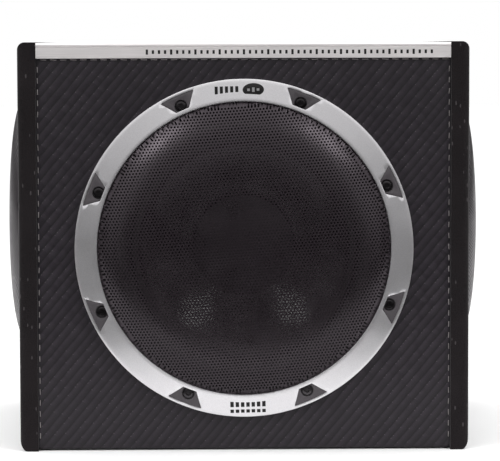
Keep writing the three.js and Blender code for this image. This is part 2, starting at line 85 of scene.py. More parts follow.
# The three round openings. Radii and heights above the panel, in millimetres.
CUTOUT_R = 141.5
SCREW_CIRCLE_R = 152
SCREW_COUNT = 8
RING_OUTER_R = 165.5
RING_INNER_R = 143.5
RING_TOP = 9.9
FRAME_BOTTOM = 4.6
FRAME_TOP = 6.1
GRILLE_R = 143.2
GRILLE_RIM = 1.2
GAP = 0.3
GRILLE_HEIGHT = 26
SIDE_RECESS = 9
RECESS_EDGE_R = 166.5
LANDING = -10
RING_TWIST = math.radians(1.2)
TURN_STEPS = 96
RING_STEPS = 144
BOLT_HOLE_R = 2.8
CUT_REACH = 60

# Each opening's own axes: X and Y in its panel, Z out of it.
FRONT = (Matrix.Translation((0, PANEL_FRONT, FRONT_CENTRE_Z)) @ Matrix.Rotation(QUARTER, 4, "X")
         @ Matrix.Rotation(RING_TWIST, 4, "Z"))
SIDE_FACE = HALF_WIDTH - SIDE_RECESS * MM
LEFT = Matrix.Translation((-SIDE_FACE, 0, SIDE_CENTRE_Z)) @ Matrix.Rotation(-QUARTER, 4, "Y")
RIGHT = Matrix.Translation((SIDE_FACE, 0, SIDE_CENTRE_Z)) @ Matrix.Rotation(QUARTER, 4, "Y")
BACK = (Matrix.Translation((0, PANEL_BACK, AMP_CENTRE_Z)) @ Matrix.Rotation(math.pi, 4, "Z")
        @ Matrix.Rotation(QUARTER, 4, "X"))
OPENINGS = {"front": FRONT, "left": LEFT, "right": RIGHT}
SIDE_BODY = {"front": "driver_cone", "left": "left_radiator", "right": "right_radiator"}

# ---- Camera ----

CAMERA_PLACE = Vector((-0.031, -2.600, 0.395))
CAMERA_YAW = math.radians(0.87)
CAMERA_PITCH = math.radians(4.206)
CAMERA_ROLL = math.radians(-0.166)
SENSOR = 36.0
LENS = 178.78

camera = bpy.data.objects.new("camera", bpy.data.cameras.new("camera"))
bpy.context.scene.collection.objects.link(camera)
camera.data.sensor_width = SENSOR
camera.data.lens = LENS
camera.matrix_world = (
    Matrix.Translation(CAMERA_PLACE) @ Matrix.Rotation(-CAMERA_YAW, 4, "Z")
    @ Matrix.Rotation(QUARTER - CAMERA_PITCH, 4, "X") @ Matrix.Rotation(CAMERA_ROLL, 4, "Z")
)
bpy.context.scene.camera = camera
bpy.context.scene.view_settings.view_transform = "Standard"

# ---- Finishes ----


class Finish:
    """A material built from nodes around one Principled shader."""

    def __init__(self, name, colour, roughness, metallic=0.0, **sockets):
        self.material = bpy.data.materials.new(name)
        self.material.use_nodes = True
        self.material.diffuse_color = (*colour, 1)
        self.nodes = self.material.node_tree.nodes
        self.links = self.material.node_tree.links
        self.shader = self.nodes["Principled BSDF"]
        self.shader.inputs["Base Color"].default_value = (*colour, 1)
        self.shader.inputs["Roughness"].default_value = roughness
        self.shader.inputs["Metallic"].default_value = metallic
        for socket, value in sockets.items():
            self.shader.inputs[socket.replace("_", " ")].default_value = value

    def node(self, kind, inputs=None, **settings):
        node = self.nodes.new(kind)
        for key, value in settings.items():
            setattr(node, key, value)
        for key, value in (inputs or {}).items():
            self.feed(node.inputs[key], value)
        return node

    def feed(self, socket, value):
        if isinstance(value, bpy.types.NodeSocket):
            self.links.new(value, socket)
        else:
            socket.default_value = value

    def math(self, operation, a, b=0.0, c=0.0):
        return self.node("ShaderNodeMath", {0: a, 1: b, 2: c}, operation=operation).outputs[0]

    def place(self, source="Object"):
        return self.node("ShaderNodeTexCoord").outputs[source]

    def mapped(self, scale, turn=(0, 0, 0)):
        inputs = {"Vector": self.place(), "Scale": scale, "Rotation": turn}
        return self.node("ShaderNodeMapping", inputs).outputs[0]

    def noise(self, scale, detail=3.0, vector=None, roughness=0.5):
        inputs = {"Vector": vector or self.place(), "Scale": scale, "Detail": detail, "Roughness": roughness}
        return self.node("ShaderNodeTexNoise", inputs).outputs[0]

    def spread(self, value, low, high, start=0.0, end=1.0):
        inputs = {"Value": value, 1: start, 2: end, 3: low, 4: high}
        return self.node("ShaderNodeMapRange", inputs).outputs[0]

    def mix(self, amount, first, second):
        node = self.node("ShaderNodeMix", data_type="RGBA")
        self.feed(node.inputs[0], amount)
        for socket, value in ((node.inputs[6], first), (node.inputs[7], second)):
            self.feed(socket, value if isinstance(value, bpy.types.NodeSocket) else (*value, 1))
        return node.outputs[2]

    def colour(self, value):
        self.feed(self.shader.inputs["Base Color"], value)

    def roughness(self, value):
        self.feed(self.shader.inputs["Roughness"], value)

    def bump(self, height, strength, distance):
        inputs = {"Height": height, "Strength": strength, "Distance": distance}
        node = self.node("ShaderNodeBump", inputs)
        self.links.new(node.outputs[0], self.shader.inputs["Normal"])


def grained(name, colour, roughness, metallic=0.0, grain=900, depth=0.05, shade=0.25, **sockets):
    """A moulded, painted or cast finish: fine grain, and slow changes of colour and gloss."""
    look = Finish(name, colour, roughness, metallic, **sockets)
    slow = look.noise(14, 4)
    darker = tuple(c * (1 - shade) for c in colour)
    lighter = tuple(min(1, c * (1 + shade)) for c in colour)
    look.colour(look.mix(look.spread(slow, 0, 1, 0.3, 0.7), darker, lighter))
    look.roughness(look.spread(look.noise(40, 5), roughness * 0.85, min(1, roughness * 1.2), 0.3, 0.7))
    look.bump(look.noise(grain, 2), 0.5, depth * MM)
    return look.material


def carbon_vinyl():
    """Vinyl pressed with a twill: ribs that climb to the right, each a row of short floats. Its colour holds
    painted shade in each rib's groove, a painted highlight on each rib's upper-left side and painted glints
    on some floats.
    """
    look = Finish("carbon_vinyl", (0.013, 0.0112, 0.0138), 0.45, Specular_IOR_Level=0.26)
    rib_pitch, float_pitch, climb = 7.35 * MM, 3.6 * MM, math.radians(50)
    flat = look.place("UV")
    part = look.node("ShaderNodeSeparateXYZ", {0: flat}).outputs
    rise, run = math.sin(climb), math.cos(climb)
    along = look.math("MULTIPLY_ADD", part[0], run, look.math("MULTIPLY", part[1], rise))
    across = look.math("MULTIPLY_ADD", part[1], run, look.math("MULTIPLY", part[0], -rise))
    wander = look.spread(look.noise(30, 2, flat), -0.08, 0.08)
    rib = look.math("MULTIPLY_ADD", across, 1 / rib_pitch, wander)
    row = look.math("FLOOR", rib)
    edge = look.math("FRACT", rib)
    row_shift = look.node("ShaderNodeTexWhiteNoise", {"W": row}, noise_dimensions="1D").outputs[0]
    step = look.math("MULTIPLY_ADD", along, 1 / float_pitch, row_shift)
    cell = look.node("ShaderNodeCombineXYZ", {0: row, 1: look.math("FLOOR", step)}).outputs[0]
    chance = look.node("ShaderNodeTexWhiteNoise", {"Vector": cell}).outputs[0]
    # Painted shade and highlight: this ramp darkens each rib towards its groove and lightens it towards its
    # upper-left side, as if lit from the upper left. The same ramp is also the ribs' bump height.
    ramp = look.node("ShaderNodeValToRGB", {0: edge})
    for spot, shade in ((0.18, 0.3), (0.45, 0.55), (0.74, 0.9), (0.9, 0.72)):
        ramp.color_ramp.elements.new(spot).color = (shade, shade, shade, 1)
    ramp.color_ramp.elements[-1].color = (0.02, 0.02, 0.02, 1)
    rib_profile_and_shade = ramp.outputs[0]
    threads = look.math("SINE", look.math("MULTIPLY", along, 2 * math.pi / (1.2 * MM)))
    fibres = look.noise(1, 3, look.node("ShaderNodeCombineXYZ", {
        0: look.math("MULTIPLY", across, 500), 1: look.math("MULTIPLY", along, 2400)}).outputs[0])
    float_light = look.spread(chance, 0.75, 1.1)
    fibre_light = look.spread(fibres, -0.14, 0.14, 0.3, 0.7)
    # light: the painted rib shading times each float's own tone, plus the fibres and the cross threads.
    light = look.math("MULTIPLY_ADD", rib_profile_and_shade, float_light, fibre_light)
    light = look.math("MULTIPLY_ADD", threads, 0.09, light)
    light = look.math("MULTIPLY", light, look.spread(look.noise(4, 2), 0.8, 1.0, 0.35, 0.65))
    # Painted glints: light specks at the tips of some floats, on the upper-left edge of their rib, where a
    # light from the upper left would catch.
    on_edge = look.math("MULTIPLY", look.math("GREATER_THAN", edge, 0.84), look.math("LESS_THAN", edge, 0.93))
    tip = look.math("LESS_THAN", look.math("FRACT", step), 0.2)
    chosen = look.math("GREATER_THAN", chance, 0.74)
    caught = look.math("MULTIPLY", chosen, look.math("MULTIPLY", on_edge, tip))
    base = look.mix(light, (0.0066, 0.0053, 0.0070), (0.0255, 0.0205, 0.0268))
    # Lays the painted glints, colour (0.15, 0.135, 0.145), over the base colour.
    look.colour(look.mix(look.math("MULTIPLY", caught, 0.4), base, (0.15, 0.135, 0.145)))
    look.roughness(look.spread(chance, 0.40, 0.52))
    look.bump(look.math("MULTIPLY_ADD", fibres, 0.2, rib_profile_and_shade), 0.45, 0.25 * MM)
    return look.material


def flock():
    """Short black fibres that stand on the side boards, with a little lint caught in them."""
    look = Finish("flock", (0.010, 0.0083, 0.009), 0.95, Sheen_Weight=0.12, Sheen_Roughness=0.5,
                  Specular_IOR_Level=0.1)
    pile = look.noise(950, 3)
    nap = look.noise(26, 5)
    base = look.mix(look.spread(pile, 0, 1, 0.35, 0.65), (0.0035, 0.0027, 0.003), (0.0135, 0.0108, 0.0118))
    base = look.mix(look.spread(nap, 0, 0.5, 0.45, 0.75), base, (0.0155, 0.0125, 0.0138))
    cells = look.node("ShaderNodeTexVoronoi", {"Vector": look.mapped((1, 1, 0.35)), "Scale": 260.0})
    speck = look.math("LESS_THAN", cells.outputs["Distance"], 0.2)
    chance = look.node("ShaderNodeSeparateColor", {0: cells.outputs["Color"]}).outputs[0]
    lint = look.math("MULTIPLY", speck, look.math("GREATER_THAN", chance, 0.78))
    look.colour(look.mix(look.math("MULTIPLY", lint, 0.4), base, (0.11, 0.10, 0.105)))
    look.bump(look.math("ADD", pile, look.math("MULTIPLY", nap, 0.6)), 0.9, 0.35 * MM)
    return look.material


def brushed(name, colour, roughness, stretch):
    """Metal with fine scratches. stretch scales the scratch pattern along X, Y and Z."""
    look = Finish(name, colour, roughness, 1.0)
    scratches = look.noise(1, 4, look.mapped(stretch), 0.7)
    darker = tuple(c * 0.86 for c in colour)
    look.colour(look.mix(look.spread(scratches, 0, 1, 0.3, 0.7), darker, colour))
    look.roughness(look.spread(scratches, roughness * 0.8, roughness * 1.25, 0.3, 0.7))
    look.bump(scratches, 0.35, 0.02 * MM)
    return look.material


def satin_silver():
    """Silver lacquer with a fine metal flake."""
    look = Finish("satin_silver", (0.72, 0.705, 0.725), 0.30, 0.95)
    flake = look.node("ShaderNodeTexVoronoi", {"Vector": look.place(), "Scale": 2600.0}).outputs["Color"]
    shade = look.node("ShaderNodeSeparateColor", {0: flake}).outputs[0]
    look.colour(look.mix(shade, (0.67, 0.655, 0.675), (0.77, 0.755, 0.775)))
    look.roughness(look.spread(look.noise(30, 4), 0.28, 0.33, 0.3, 0.7))
    look.bump(look.noise(500, 2), 0.1, 0.004 * MM)
    return look.material


def fibreboard():
    """Bare fibreboard: pressed wood fibres, paler and darker flecks."""
    look = Finish("fibreboard", (0.36, 0.25, 0.14), 0.85)
    fibre = look.noise(1, 5, look.mapped((900, 300, 900)), 0.65)
    fleck = look.noise(160, 3)
    base = look.mix(look.spread(fibre, 0, 1, 0.3, 0.7), (0.25, 0.165, 0.088), (0.42, 0.3, 0.175))
    look.colour(look.mix(look.spread(fleck, 0, 0.5, 0.55, 0.75), base, (0.17, 0.105, 0.055)))
    look.bump(fibre, 0.5, 0.1 * MM)
    return look.material


def spider_cloth():
    """Open cotton weave set with resin."""
    look = Finish("spider_cloth", (0.46, 0.33, 0.10), 0.8)
    part = look.node("ShaderNodeSeparateXYZ", {0: look.mapped((1400, 1400, 1400))}).outputs
    threads = look.math("MULTIPLY", look.math("SINE", part[0]), look.math("SINE", part[2]))
    look.colour(look.mix(look.spread(threads, 0, 1, -0.6, 0.6), (0.3, 0.2, 0.05), (0.55, 0.41, 0.15)))
    look.bump(threads, 0.6, 0.15 * MM)
    return look.material


def wound_copper():
    """Enamelled wire wound in close turns."""
    look = Finish("wound_copper", (0.62, 0.25, 0.09), 0.3, 1.0, Coat_Weight=0.5, Coat_Roughness=0.15)
    turns = look.node("ShaderNodeTexWave", {"Vector": look.place(), "Scale": 420.0, "Distortion": 1.5},
                      wave_type="BANDS", bands_direction="DIAGONAL").outputs[1]
    look.colour(look.mix(turns, (0.26, 0.085, 0.03), (0.72, 0.32, 0.13)))
    look.bump(turns, 0.8, 0.25 * MM)
    return look.material


def circuit_green():
    """Green solder mask over copper tracks."""
    look = Finish("circuit_green", (0.02, 0.13, 0.05), 0.35, Coat_Weight=0.3)
    bricks = look.node("ShaderNodeTexBrick", {
        "Vector": look.mapped((1, 1, 1), (QUARTER, 0, 0)), "Scale": 26.0, "Mortar Size": 0.03,
        "Color1": (0.015, 0.10, 0.035, 1), "Color2": (0.02, 0.15, 0.055, 1), "Mortar": (0.07, 0.26, 0.11, 1)})
    look.colour(bricks.outputs[0])
    look.bump(bricks.outputs[1], 0.3, 0.05 * MM)
    return look.material


def lit_lens():
    """A small red power light."""
    look = Finish("power_lens", (0.75, 0.02, 0.01), 0.15, Coat_Weight=1.0,
                  Emission_Color=(1, 0.05, 0.02, 1), Emission_Strength=0.6)
    look.roughness(look.spread(look.noise(400, 2), 0.1, 0.25))
    return look.material


VINYL = carbon_vinyl()
FLOCK = flock()
SILVER = satin_silver()
TRIM = brushed("satin_aluminium", (0.88, 0.845, 0.845), 0.5, (25, 2600, 2600))
FIBREBOARD = fibreboard()
FRAME_PLASTIC = grained("frame_plastic", (0.046, 0.040, 0.045), 0.5, grain=1800, depth=0.03, shade=0.12)
GRILLE_PAINT = grained("grille_paint", (0.0115, 0.0084, 0.0105), 0.3, grain=1400, depth=0.01, shade=0.1,
                       Specular_IOR_Level=0.45, Specular_Tint=(1.0, 0.88, 0.97, 1))
BLACK_OXIDE = grained("black_oxide", (0.055, 0.051, 0.054), 0.22, 1.0, grain=1500, depth=0.02)
CONE_GLOSS = grained("cone_gloss", (0.021, 0.0165, 0.0195), 0.18, grain=700, depth=0.04, shade=0.1,
                     Coat_Weight=0.4, Coat_Roughness=0.14)
CAP_SKIN = grained("cap_skin", (0.016, 0.0125, 0.0148), 0.5, grain=900, depth=0.04, shade=0.1)
RUBBER = grained("butyl_rubber", (0.020, 0.0195, 0.019), 0.55, grain=1200, depth=0.04, shade=0.15)
FOAM = grained("foam_rubber", (0.014, 0.014, 0.014), 0.9, grain=2200, depth=0.25, shade=0.3)
POWDER_COAT = grained("powder_coat", (0.017, 0.017, 0.018), 0.5, 0.1, grain=1300, depth=0.08)
ZINC = brushed("zinc_plate", (0.56, 0.56, 0.53), 0.3, (700, 700, 90))
FERRITE = grained("ferrite", (0.03, 0.03, 0.032), 0.75, 0.1, grain=900, depth=0.12, shade=0.3)
BLACK_PLASTIC = grained("black_plastic", (0.013, 0.013, 0.014), 0.45, grain=1600, depth=0.03)
ANODISED = grained("black_anodised", (0.015, 0.015, 0.017), 0.38, 0.75, grain=2400, depth=0.015, shade=0.12)
KNOB_PLASTIC = grained("knob_plastic", (0.02, 0.02, 0.021), 0.38, grain=1500, depth=0.02)
GOLD = brushed("gold_plate", (0.83, 0.58, 0.20), 0.22, (900, 900, 120))
COPPER = wound_copper()
CLOTH = spider_cloth()
GREEN_BOARD = circuit_green()
FUSE_BODY = grained("fuse_body", (0.04, 0.16, 0.45), 0.2, grain=600, depth=0.02, shade=0.1, Coat_Weight=0.5)
THREAD = grained("stitch_thread", (0.19, 0.175, 0.175), 0.75, grain=2500, depth=0.12, shade=0.25)
WHITE_INK = grained("white_ink", (0.62, 0.62, 0.6), 0.6, grain=2000, depth=0.01, shade=0.05)
DARK_INK = grained("dark_ink", (0.009, 0.008, 0.0085), 0.5, grain=2000, depth=0.01, shade=0.1,
                   Specular_IOR_Level=0.25)
LENS_RED = lit_lens()

# ---- Modelling steps ----


def select_only(*chosen):
    bpy.ops.object.select_all(action="DESELECT")
    for piece in chosen:
        piece.select_set(True)
    bpy.context.view_layer.objects.active = chosen[-1]


@contextmanager
def editing(piece, elements="VERT"):
    """Edit mode with everything selected."""
    select_only(piece)
    bpy.ops.object.mode_set(mode="EDIT")
    bpy.ops.mesh.select_mode(type=elements)
    bpy.ops.mesh.select_all(action="SELECT")
    yield
    bpy.ops.object.mode_set(mode="OBJECT")


@contextmanager
def editing_chosen(piece, elements, rule):
    """Edit mode with only the vertices, edges or faces that the rule accepts selected."""
    with editing(piece, elements):
        bpy.ops.mesh.select_all(action="DESELECT")
    parts = {"VERT": piece.data.vertices, "EDGE": piece.data.edges, "FACE": piece.data.polygons}[elements]
    for part in parts:
        part.select = rule(part)
    bpy.ops.object.mode_set(mode="EDIT")
    yield
    bpy.ops.object.mode_set(mode="OBJECT")


def edge_runs_along_x(piece, edge):
    ends = [piece.data.vertices[i].co for i in edge.vertices]
    return abs(ends[0].x - ends[1].x) > MM


def apply_modifier(piece, kind, **settings):
    select_only(piece)
    modifier = piece.modifiers.new(kind.lower(), kind)
    for key, value in settings.items():
        setattr(modifier, key, value)
    bpy.ops.object.modifier_apply(modifier=modifier.name)


def soften(piece, width, segments=2, angle=32):
    """Rounds every edge sharper than the angle. The width is in millimetres."""
    apply_modifier(piece, "BEVEL", width=width * MM, segments=segments, limit_method="ANGLE",
                   angle_limit=math.radians(angle), use_clamp_overlap=True)


def carve(piece, tool, operation="DIFFERENCE"):
    apply_modifier(piece, "BOOLEAN", object=tool, operation=operation, solver="EXACT")
    bpy.data.objects.remove(tool)


def from_outline(name, points, faces=()):
    """A new mesh of the points, joined in a ring of edges, or in the faces given."""
    mesh = bpy.data.meshes.new(name)
    edges = [] if faces else [(i, (i + 1) % len(points)) for i in range(len(points))]
    mesh.from_pydata(points, edges, faces)
    piece = bpy.data.objects.new(name, mesh)
    bpy.context.scene.collection.objects.link(piece)
    return piece


def block(name, low, high):
    """A box between two corners, in metres."""
    low, high = Vector(low), Vector(high)
    bpy.ops.object.select_all(action="DESELECT")
    bpy.ops.mesh.primitive_cube_add(size=1, location=(low + high) / 2, scale=high - low)
    piece = bpy.context.object
    piece.name = name
    bpy.ops.object.transform_apply(location=True, rotation=True, scale=True)
    return piece


def slab(name, low, high):
    """A box between two corners, in millimetres."""
    return block(name, Vector(low) * MM, Vector(high) * MM)


def turned(name, outline, steps=TURN_STEPS):
    """An outline of (radius, height) points in millimetres, spun about Z."""
    piece = from_outline(name, [(r * MM, 0, z * MM) for r, z in outline])
    with editing(piece):
        bpy.ops.mesh.spin(steps=steps, angle=2 * math.pi, center=(0, 0, 0), axis=(0, 0, 1))
        bpy.ops.mesh.select_all(action="SELECT")
        bpy.ops.mesh.remove_doubles(threshold=1e-6)
        bpy.ops.mesh.delete_loose()
        bpy.ops.mesh.select_all(action="SELECT")
        bpy.ops.mesh.normals_make_consistent(inside=False)
    return piece


def rod(name, radius, bottom, top, x=0, y=0, sides=32):
    """A cylinder along Z, in millimetres."""
    bpy.ops.object.select_all(action="DESELECT")
    bpy.ops.mesh.primitive_cylinder_add(
        vertices=sides, radius=radius * MM, depth=(top - bottom) * MM,
        location=(x * MM, y * MM, (bottom + top) / 2 * MM))
    piece = bpy.context.object
    piece.name = name
    bpy.ops.object.transform_apply(location=True, rotation=True, scale=True)
    return piece


def filleted(corners, steps=5):
    """Outline points for (x, y, radius) corners, with each corner rounded by an arc."""
    points = []
    for i, (x, y, radius) in enumerate(corners):
        here = Vector((x, y))
        before = (Vector(corners[i - 1][:2]) - here).normalized()
        after = (Vector(corners[(i + 1) % len(corners)][:2]) - here).normalized()
        if radius == 0:
            points.append((x, y))
            continue
        half = before.angle(after) / 2
        centre = here + (before + after).normalized() * (radius / math.sin(half))
        first = here + before * (radius / math.tan(half)) - centre
        last = here + after * (radius / math.tan(half)) - centre
        for k in range(steps + 1):
            spoke = first.slerp(last, k / steps)
            points.append(tuple(centre + spoke))
    return points


def extruded(name, outline, bottom, top):
    """A flat outline in millimetres, raised from bottom to top along Z."""
    count = len(outline)
    piece = from_outline(name, [(x * MM, y * MM, bottom * MM) for x, y in outline], [range(count)])
    with editing(piece, "FACE"):
        bpy.ops.mesh.extrude_region_move(TRANSFORM_OT_translate={"value": (0, 0, (top - bottom) * MM)})
        bpy.ops.mesh.select_all(action="SELECT")
        bpy.ops.mesh.normals_make_consistent(inside=False)
    return piece


def copies(piece, places):
    """Copies at each place, each with its own mesh. The first piece itself is removed."""
    made = []
    for place in places:
        copy = bpy.data.objects.new(piece.name, piece.data.copy())
        copy.data.transform(place)
        bpy.context.scene.collection.objects.link(copy)
        made.append(copy)
    bpy.data.objects.remove(piece)
    return made


def joined(name, pieces):
    select_only(*pieces)
    bpy.ops.object.join()
    piece = bpy.context.object
    piece.name = name
    return piece


def around(count=SCREW_COUNT, radius=0.0):
    """A turn about Z for each screw position, after a step outwards by the radius in millimetres."""
    return [Matrix.Rotation((k + 0.5) / count * 2 * math.pi, 4, "Z") @ Matrix.Translation((radius * MM, 0, 0))
            for k in range(count)]


def place_piece(piece, finish, body="cabinet", place=None, stands_for=(), smooth=32):
    """Gives a finished mesh its place, finish, body and material slot."""
    if place is not None:
        piece.data.transform(place)
    piece.data.materials.clear()
    piece.data.materials.append(finish)
    select_only(piece)
    bpy.ops.object.shade_smooth_by_angle(angle=math.radians(smooth))
    if body is not None:
        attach(piece, body)
    if stands_for:
        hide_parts(*stands_for)
    return piece


def refined(node, name, width, finish, body="cabinet", segments=2):
    """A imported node's solid with its edges rounded, which then stands for the node."""
    piece = bpy.data.objects.new(name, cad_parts[node].data.copy())
    bpy.context.scene.collection.objects.link(piece)
    with editing(piece):
        bpy.ops.mesh.remove_doubles(threshold=1e-5)
        bpy.ops.mesh.dissolve_limited(angle_limit=math.radians(0.5))
    soften(piece, width, segments)
    return place_piece(piece, finish, body, stands_for=[node])


# ---- Cuts that the boards and the vinyl share ----


def bore_at(place):
    """A plug the size of the speaker cutout, through the panel at a place."""
    bore = rod("bore", CUTOUT_R, -CUT_REACH, CUT_REACH, sides=TURN_STEPS)
    bore.data.transform(place)
    return bore


def bolt_holes(place, bottom):
    """Plugs for the ring's bolts, from a depth under the panel to well above it."""
    hole = rod("hole", BOLT_HOLE_R, bottom, 20, sides=16)
    holes = joined("holes", copies(hole, around(radius=SCREW_CIRCLE_R)))
    holes.data.transform(place)
    return holes


def amplifier_opening():
    """A plug a little smaller than the amplifier's plate, through the back."""
    margin, reach = 7 * MM, CUT_REACH * MM
    return block("opening", (plate_low[0] + margin, PANEL_BACK - reach, plate_low[2] + margin),
                 (plate_high[0] - margin, PANEL_BACK + reach, plate_high[2] - margin))


# ---- Box ----


def side_board(side):
    """Flocked side board with every outer edge rounded over, bored and recessed for its radiator."""
    bottom_round, top_round, upright_round = 12, 8, 5
    panel = block(f"{side}_side_board", (HALF_INSIDE, -HALF_DEPTH, 0), (HALF_WIDTH, HALF_DEPTH, HEIGHT))
    weights = panel.data.attributes.new("bevel_weight_edge", "FLOAT", "EDGE")
    for edge in panel.data.edges:
        ends = [panel.data.vertices[i].co for i in edge.vertices]
        if min(end.x for end in ends) < HALF_WIDTH - MM:
            continue
        middle_z = (ends[0].z + ends[1].z) / 2
        if middle_z < MM:
            radius = bottom_round
        elif middle_z > HEIGHT - MM:
            radius = top_round
        else:
            radius = upright_round
        weights.data[edge.index].value = radius / bottom_round
    apply_modifier(panel, "BEVEL", width=bottom_round * MM, segments=8, limit_method="WEIGHT")
    recess = rod("recess", RECESS_EDGE_R, 0, CUT_REACH, sides=RING_STEPS)
    recess.data.transform(RIGHT)
    for cut in (bore_at(RIGHT), recess, bolt_holes(RIGHT, -9.5)):
        carve(panel, cut)
    if side == "left":
        panel.data.transform(Matrix.Scale(-1, 4, (1, 0, 0)))
        panel.data.flip_normals()
    place_piece(panel, FLOCK, stands_for=[f"{side}_cheek"])


def unroll(piece):
    """UVs in metres that run up the front, over the top and down the back."""
    for spare in list(piece.data.uv_layers):
        piece.data.uv_layers.remove(spare)
    layer = piece.data.uv_layers.new(name="unrolled")
    depth = PANEL_BACK - PANEL_FRONT
    for face in piece.data.polygons:
        upright = abs(face.normal.y) > abs(face.normal.z)
        for loop in face.loop_indices:
            x, y, z = piece.data.vertices[piece.data.loops[loop].vertex_index].co
            if upright and y < 0:
                v = z
            elif upright:
                v = 2 * HEIGHT + depth - z
            elif z > HEIGHT / 2:
                v = HEIGHT + y - PANEL_FRONT
            else:
                v = PANEL_FRONT - y
            layer.data[loop].uv = (x, v)


def vinyl_sleeve():
    """The vinyl around the front, top, back and bottom boards, folded over rounded edges."""
    fold, sheet = 3.2, 1.2
    sleeve = block("vinyl_sleeve", wrap_low, wrap_high)
    with editing_chosen(sleeve, "EDGE", lambda edge: edge_runs_along_x(sleeve, edge)):
        bpy.ops.mesh.bevel(offset=fold * MM, segments=6, affect="EDGES")
    with editing_chosen(sleeve, "FACE", lambda face: abs(face.normal.x) > 0.9):
        bpy.ops.mesh.delete(type="FACE")
    apply_modifier(sleeve, "SOLIDIFY", thickness=sheet * MM, offset=-1, use_even_offset=True)
    carve(sleeve, bore_at(FRONT))
    carve(sleeve, amplifier_opening())
    unroll(sleeve)
    place_piece(sleeve, VINYL, stands_for=["vinyl_wrap"])


def edge_stitching():
    """Thread along the front's top and side edges, each stitch a little different."""
    rng = random.Random(7)
    thread_r, flatten, lean = 0.55, 0.75, 0.07
    across_length, across_pitch, up_length, up_pitch = 6.2, 9.8, 5.4, 10.8
    side_row = HALF_INSIDE / MM - 1.6
    top_row = trim_low[2] / MM - 1.3
    low_end = wrap_low[2] / MM + 8
    rows = []
    across = int(2 * side_row / across_pitch)
    for k in range(across):
        rows.append((across_length, -side_row + (k + 0.6) * 2 * side_row / across, top_row, 0))
    up = int((top_row - low_end) / up_pitch)
    for x in (-side_row, side_row):
        for k in range(up):
            rows.append((up_length, x, low_end + (k + 0.5) * (top_row - 4 - low_end) / up, QUARTER))
    stitches = []
    for length, x, z, turn in rows:
        stitch = rod("stitch", thread_r, -length / 2, length / 2, sides=8)
        soften(stitch, 0.35, 2)
        tilt = turn + rng.uniform(-lean, lean)
        spot = Matrix.Translation((x * MM, PANEL_FRONT, z * MM))
        stitch.data.transform(spot @ Matrix.Rotation(-tilt, 4, "Y") @ Matrix.Scale(flatten, 4, (0, 1, 0))
                              @ Matrix.Rotation(QUARTER, 4, "Y"))
        stitches.append(stitch)
    place_piece(joined("edge_stitching", stitches), THREAD)


def top_trim():
    """Aluminium angle: rounded top edge, a fine groove under it and a bevelled lower edge."""
    depth = (trim_high[1] - trim_low[1]) / MM
    height = (trim_high[2] - trim_low[2]) / MM
    wall, flange, edge_round = 3.2, 1.4, 1.8
    outline = [
        (wall, -height), (0.8, -height), (0, 0.8 - height), (0, -4.2), (0.5, -4.0), (0.5, -3.5), (0, -3.3),
        *[(edge_round * (1 - math.cos(a)), edge_round * (math.sin(a) - 1))
          for a in (math.radians(15 * k) for k in range(7))],
        (depth, 0), (depth, -flange), (wall, -flange),
    ]
    width = (trim_high[0] - trim_low[0]) / MM
    trim = extruded("trim_strip", outline, 0, width)
    stand = Matrix(((0, 0, 1, trim_low[0]), (1, 0, 0, trim_low[1]), (0, 1, 0, trim_high[2]), (0, 0, 0, 1)))
    place_piece(trim, TRIM, place=stand, stands_for=["top_trim"])

    marks = []
    first, last, pitch, half_wide = -94, 188, 5.9, 1.1
    face, row = trim_low[1] / MM, trim_low[2] / MM + 6
    for k in range(int((last - first) / pitch) + 1):
        half_tall = 2.5 if k % 4 == 0 else 1.8
        x = first + k * pitch
        marks.append(slab("mark", (x - half_wide, face - 0.05, row - half_tall),
                          (x + half_wide, face + 0.3, row + half_tall)))
    place_piece(joined("trim_scale", marks), DARK_INK)


# ---- Rings and grilles ----


def tab_outline(grow):
    """A tab of the grille frame: a curved outer side, tapered flanks and rounded inner corners."""
    outer_r, inner, corner_r = 162.4 + grow, 145 - grow, 4
    half_outer, half_inner = math.asin((17 + grow) / outer_r), 8.6 + grow
    arc = [(outer_r * math.cos(a), outer_r * math.sin(a))
           for a in (half_outer * (k / 4 - 1) for k in range(9))]
    corners = filleted([
        (*arc[-1], 0), (inner, half_inner, corner_r), (inner, -half_inner, corner_r), (*arc[0], 0)])
    return arc + corners[1:-1]


def trim_ring(side, place):
    """Silver ring: a face that falls outwards, a bevelled rim, a skirt to the panel and eight windows."""
    under, skirt_r, steps = FRAME_TOP + GAP, 163, 8
    outer_edge, face_width, fall = 165.1, 20.5, 2.1
    face = [(outer_edge - k * face_width / steps, RING_TOP - fall * (1 - k / steps))
            for k in range(steps + 1)]
    ring = turned(f"{side}_trim_ring", [
        (RING_INNER_R, under), (skirt_r, under), (skirt_r, GAP), (RING_OUTER_R, GAP), (RING_OUTER_R, 7.3),
        *face, (143.9, 9.85), (RING_INNER_R, 9.4),
    ], steps=RING_STEPS)
    windows = copies(extruded("window", tab_outline(GAP), FRAME_BOTTOM, RING_TOP + 1), around())
    carve(ring, joined("windows", windows))
    soften(ring, 0.22, 2, 40)
    place_piece(ring, SILVER, place=place, stands_for=[f"{side}_ring"])


def grille_frame(side, place):
    """Dark frame under the ring, with a recessed seat in each tab for its bolt."""
    seat_r, tab_top = 6.3, RING_TOP - 0.9
    frame_ring = turned(f"{side}_grille_mount", [
        (CUTOUT_R - 2, FRAME_BOTTOM), (161.9, FRAME_BOTTOM), (161.9, FRAME_TOP), (CUTOUT_R - 2, FRAME_TOP)])
    tabs = copies(extruded("tab", tab_outline(-0.05), FRAME_BOTTOM + 0.2, tab_top), around())
    carve(frame_ring, joined("tabs", tabs), "UNION")
    seats = copies(rod("seat", seat_r, FRAME_TOP, RING_TOP + 1), around(radius=SCREW_CIRCLE_R))
    carve(frame_ring, joined("seats", seats))
    holes = copies(rod("hole", BOLT_HOLE_R, 0, RING_TOP + 1, sides=20), around(radius=SCREW_CIRCLE_R))
    carve(frame_ring, joined("holes", holes))
    soften(frame_ring, 0.35, 2, 40)
    place_piece(frame_ring, FRAME_PLASTIC, place=place, stands_for=[f"{side}_grille_frame"])


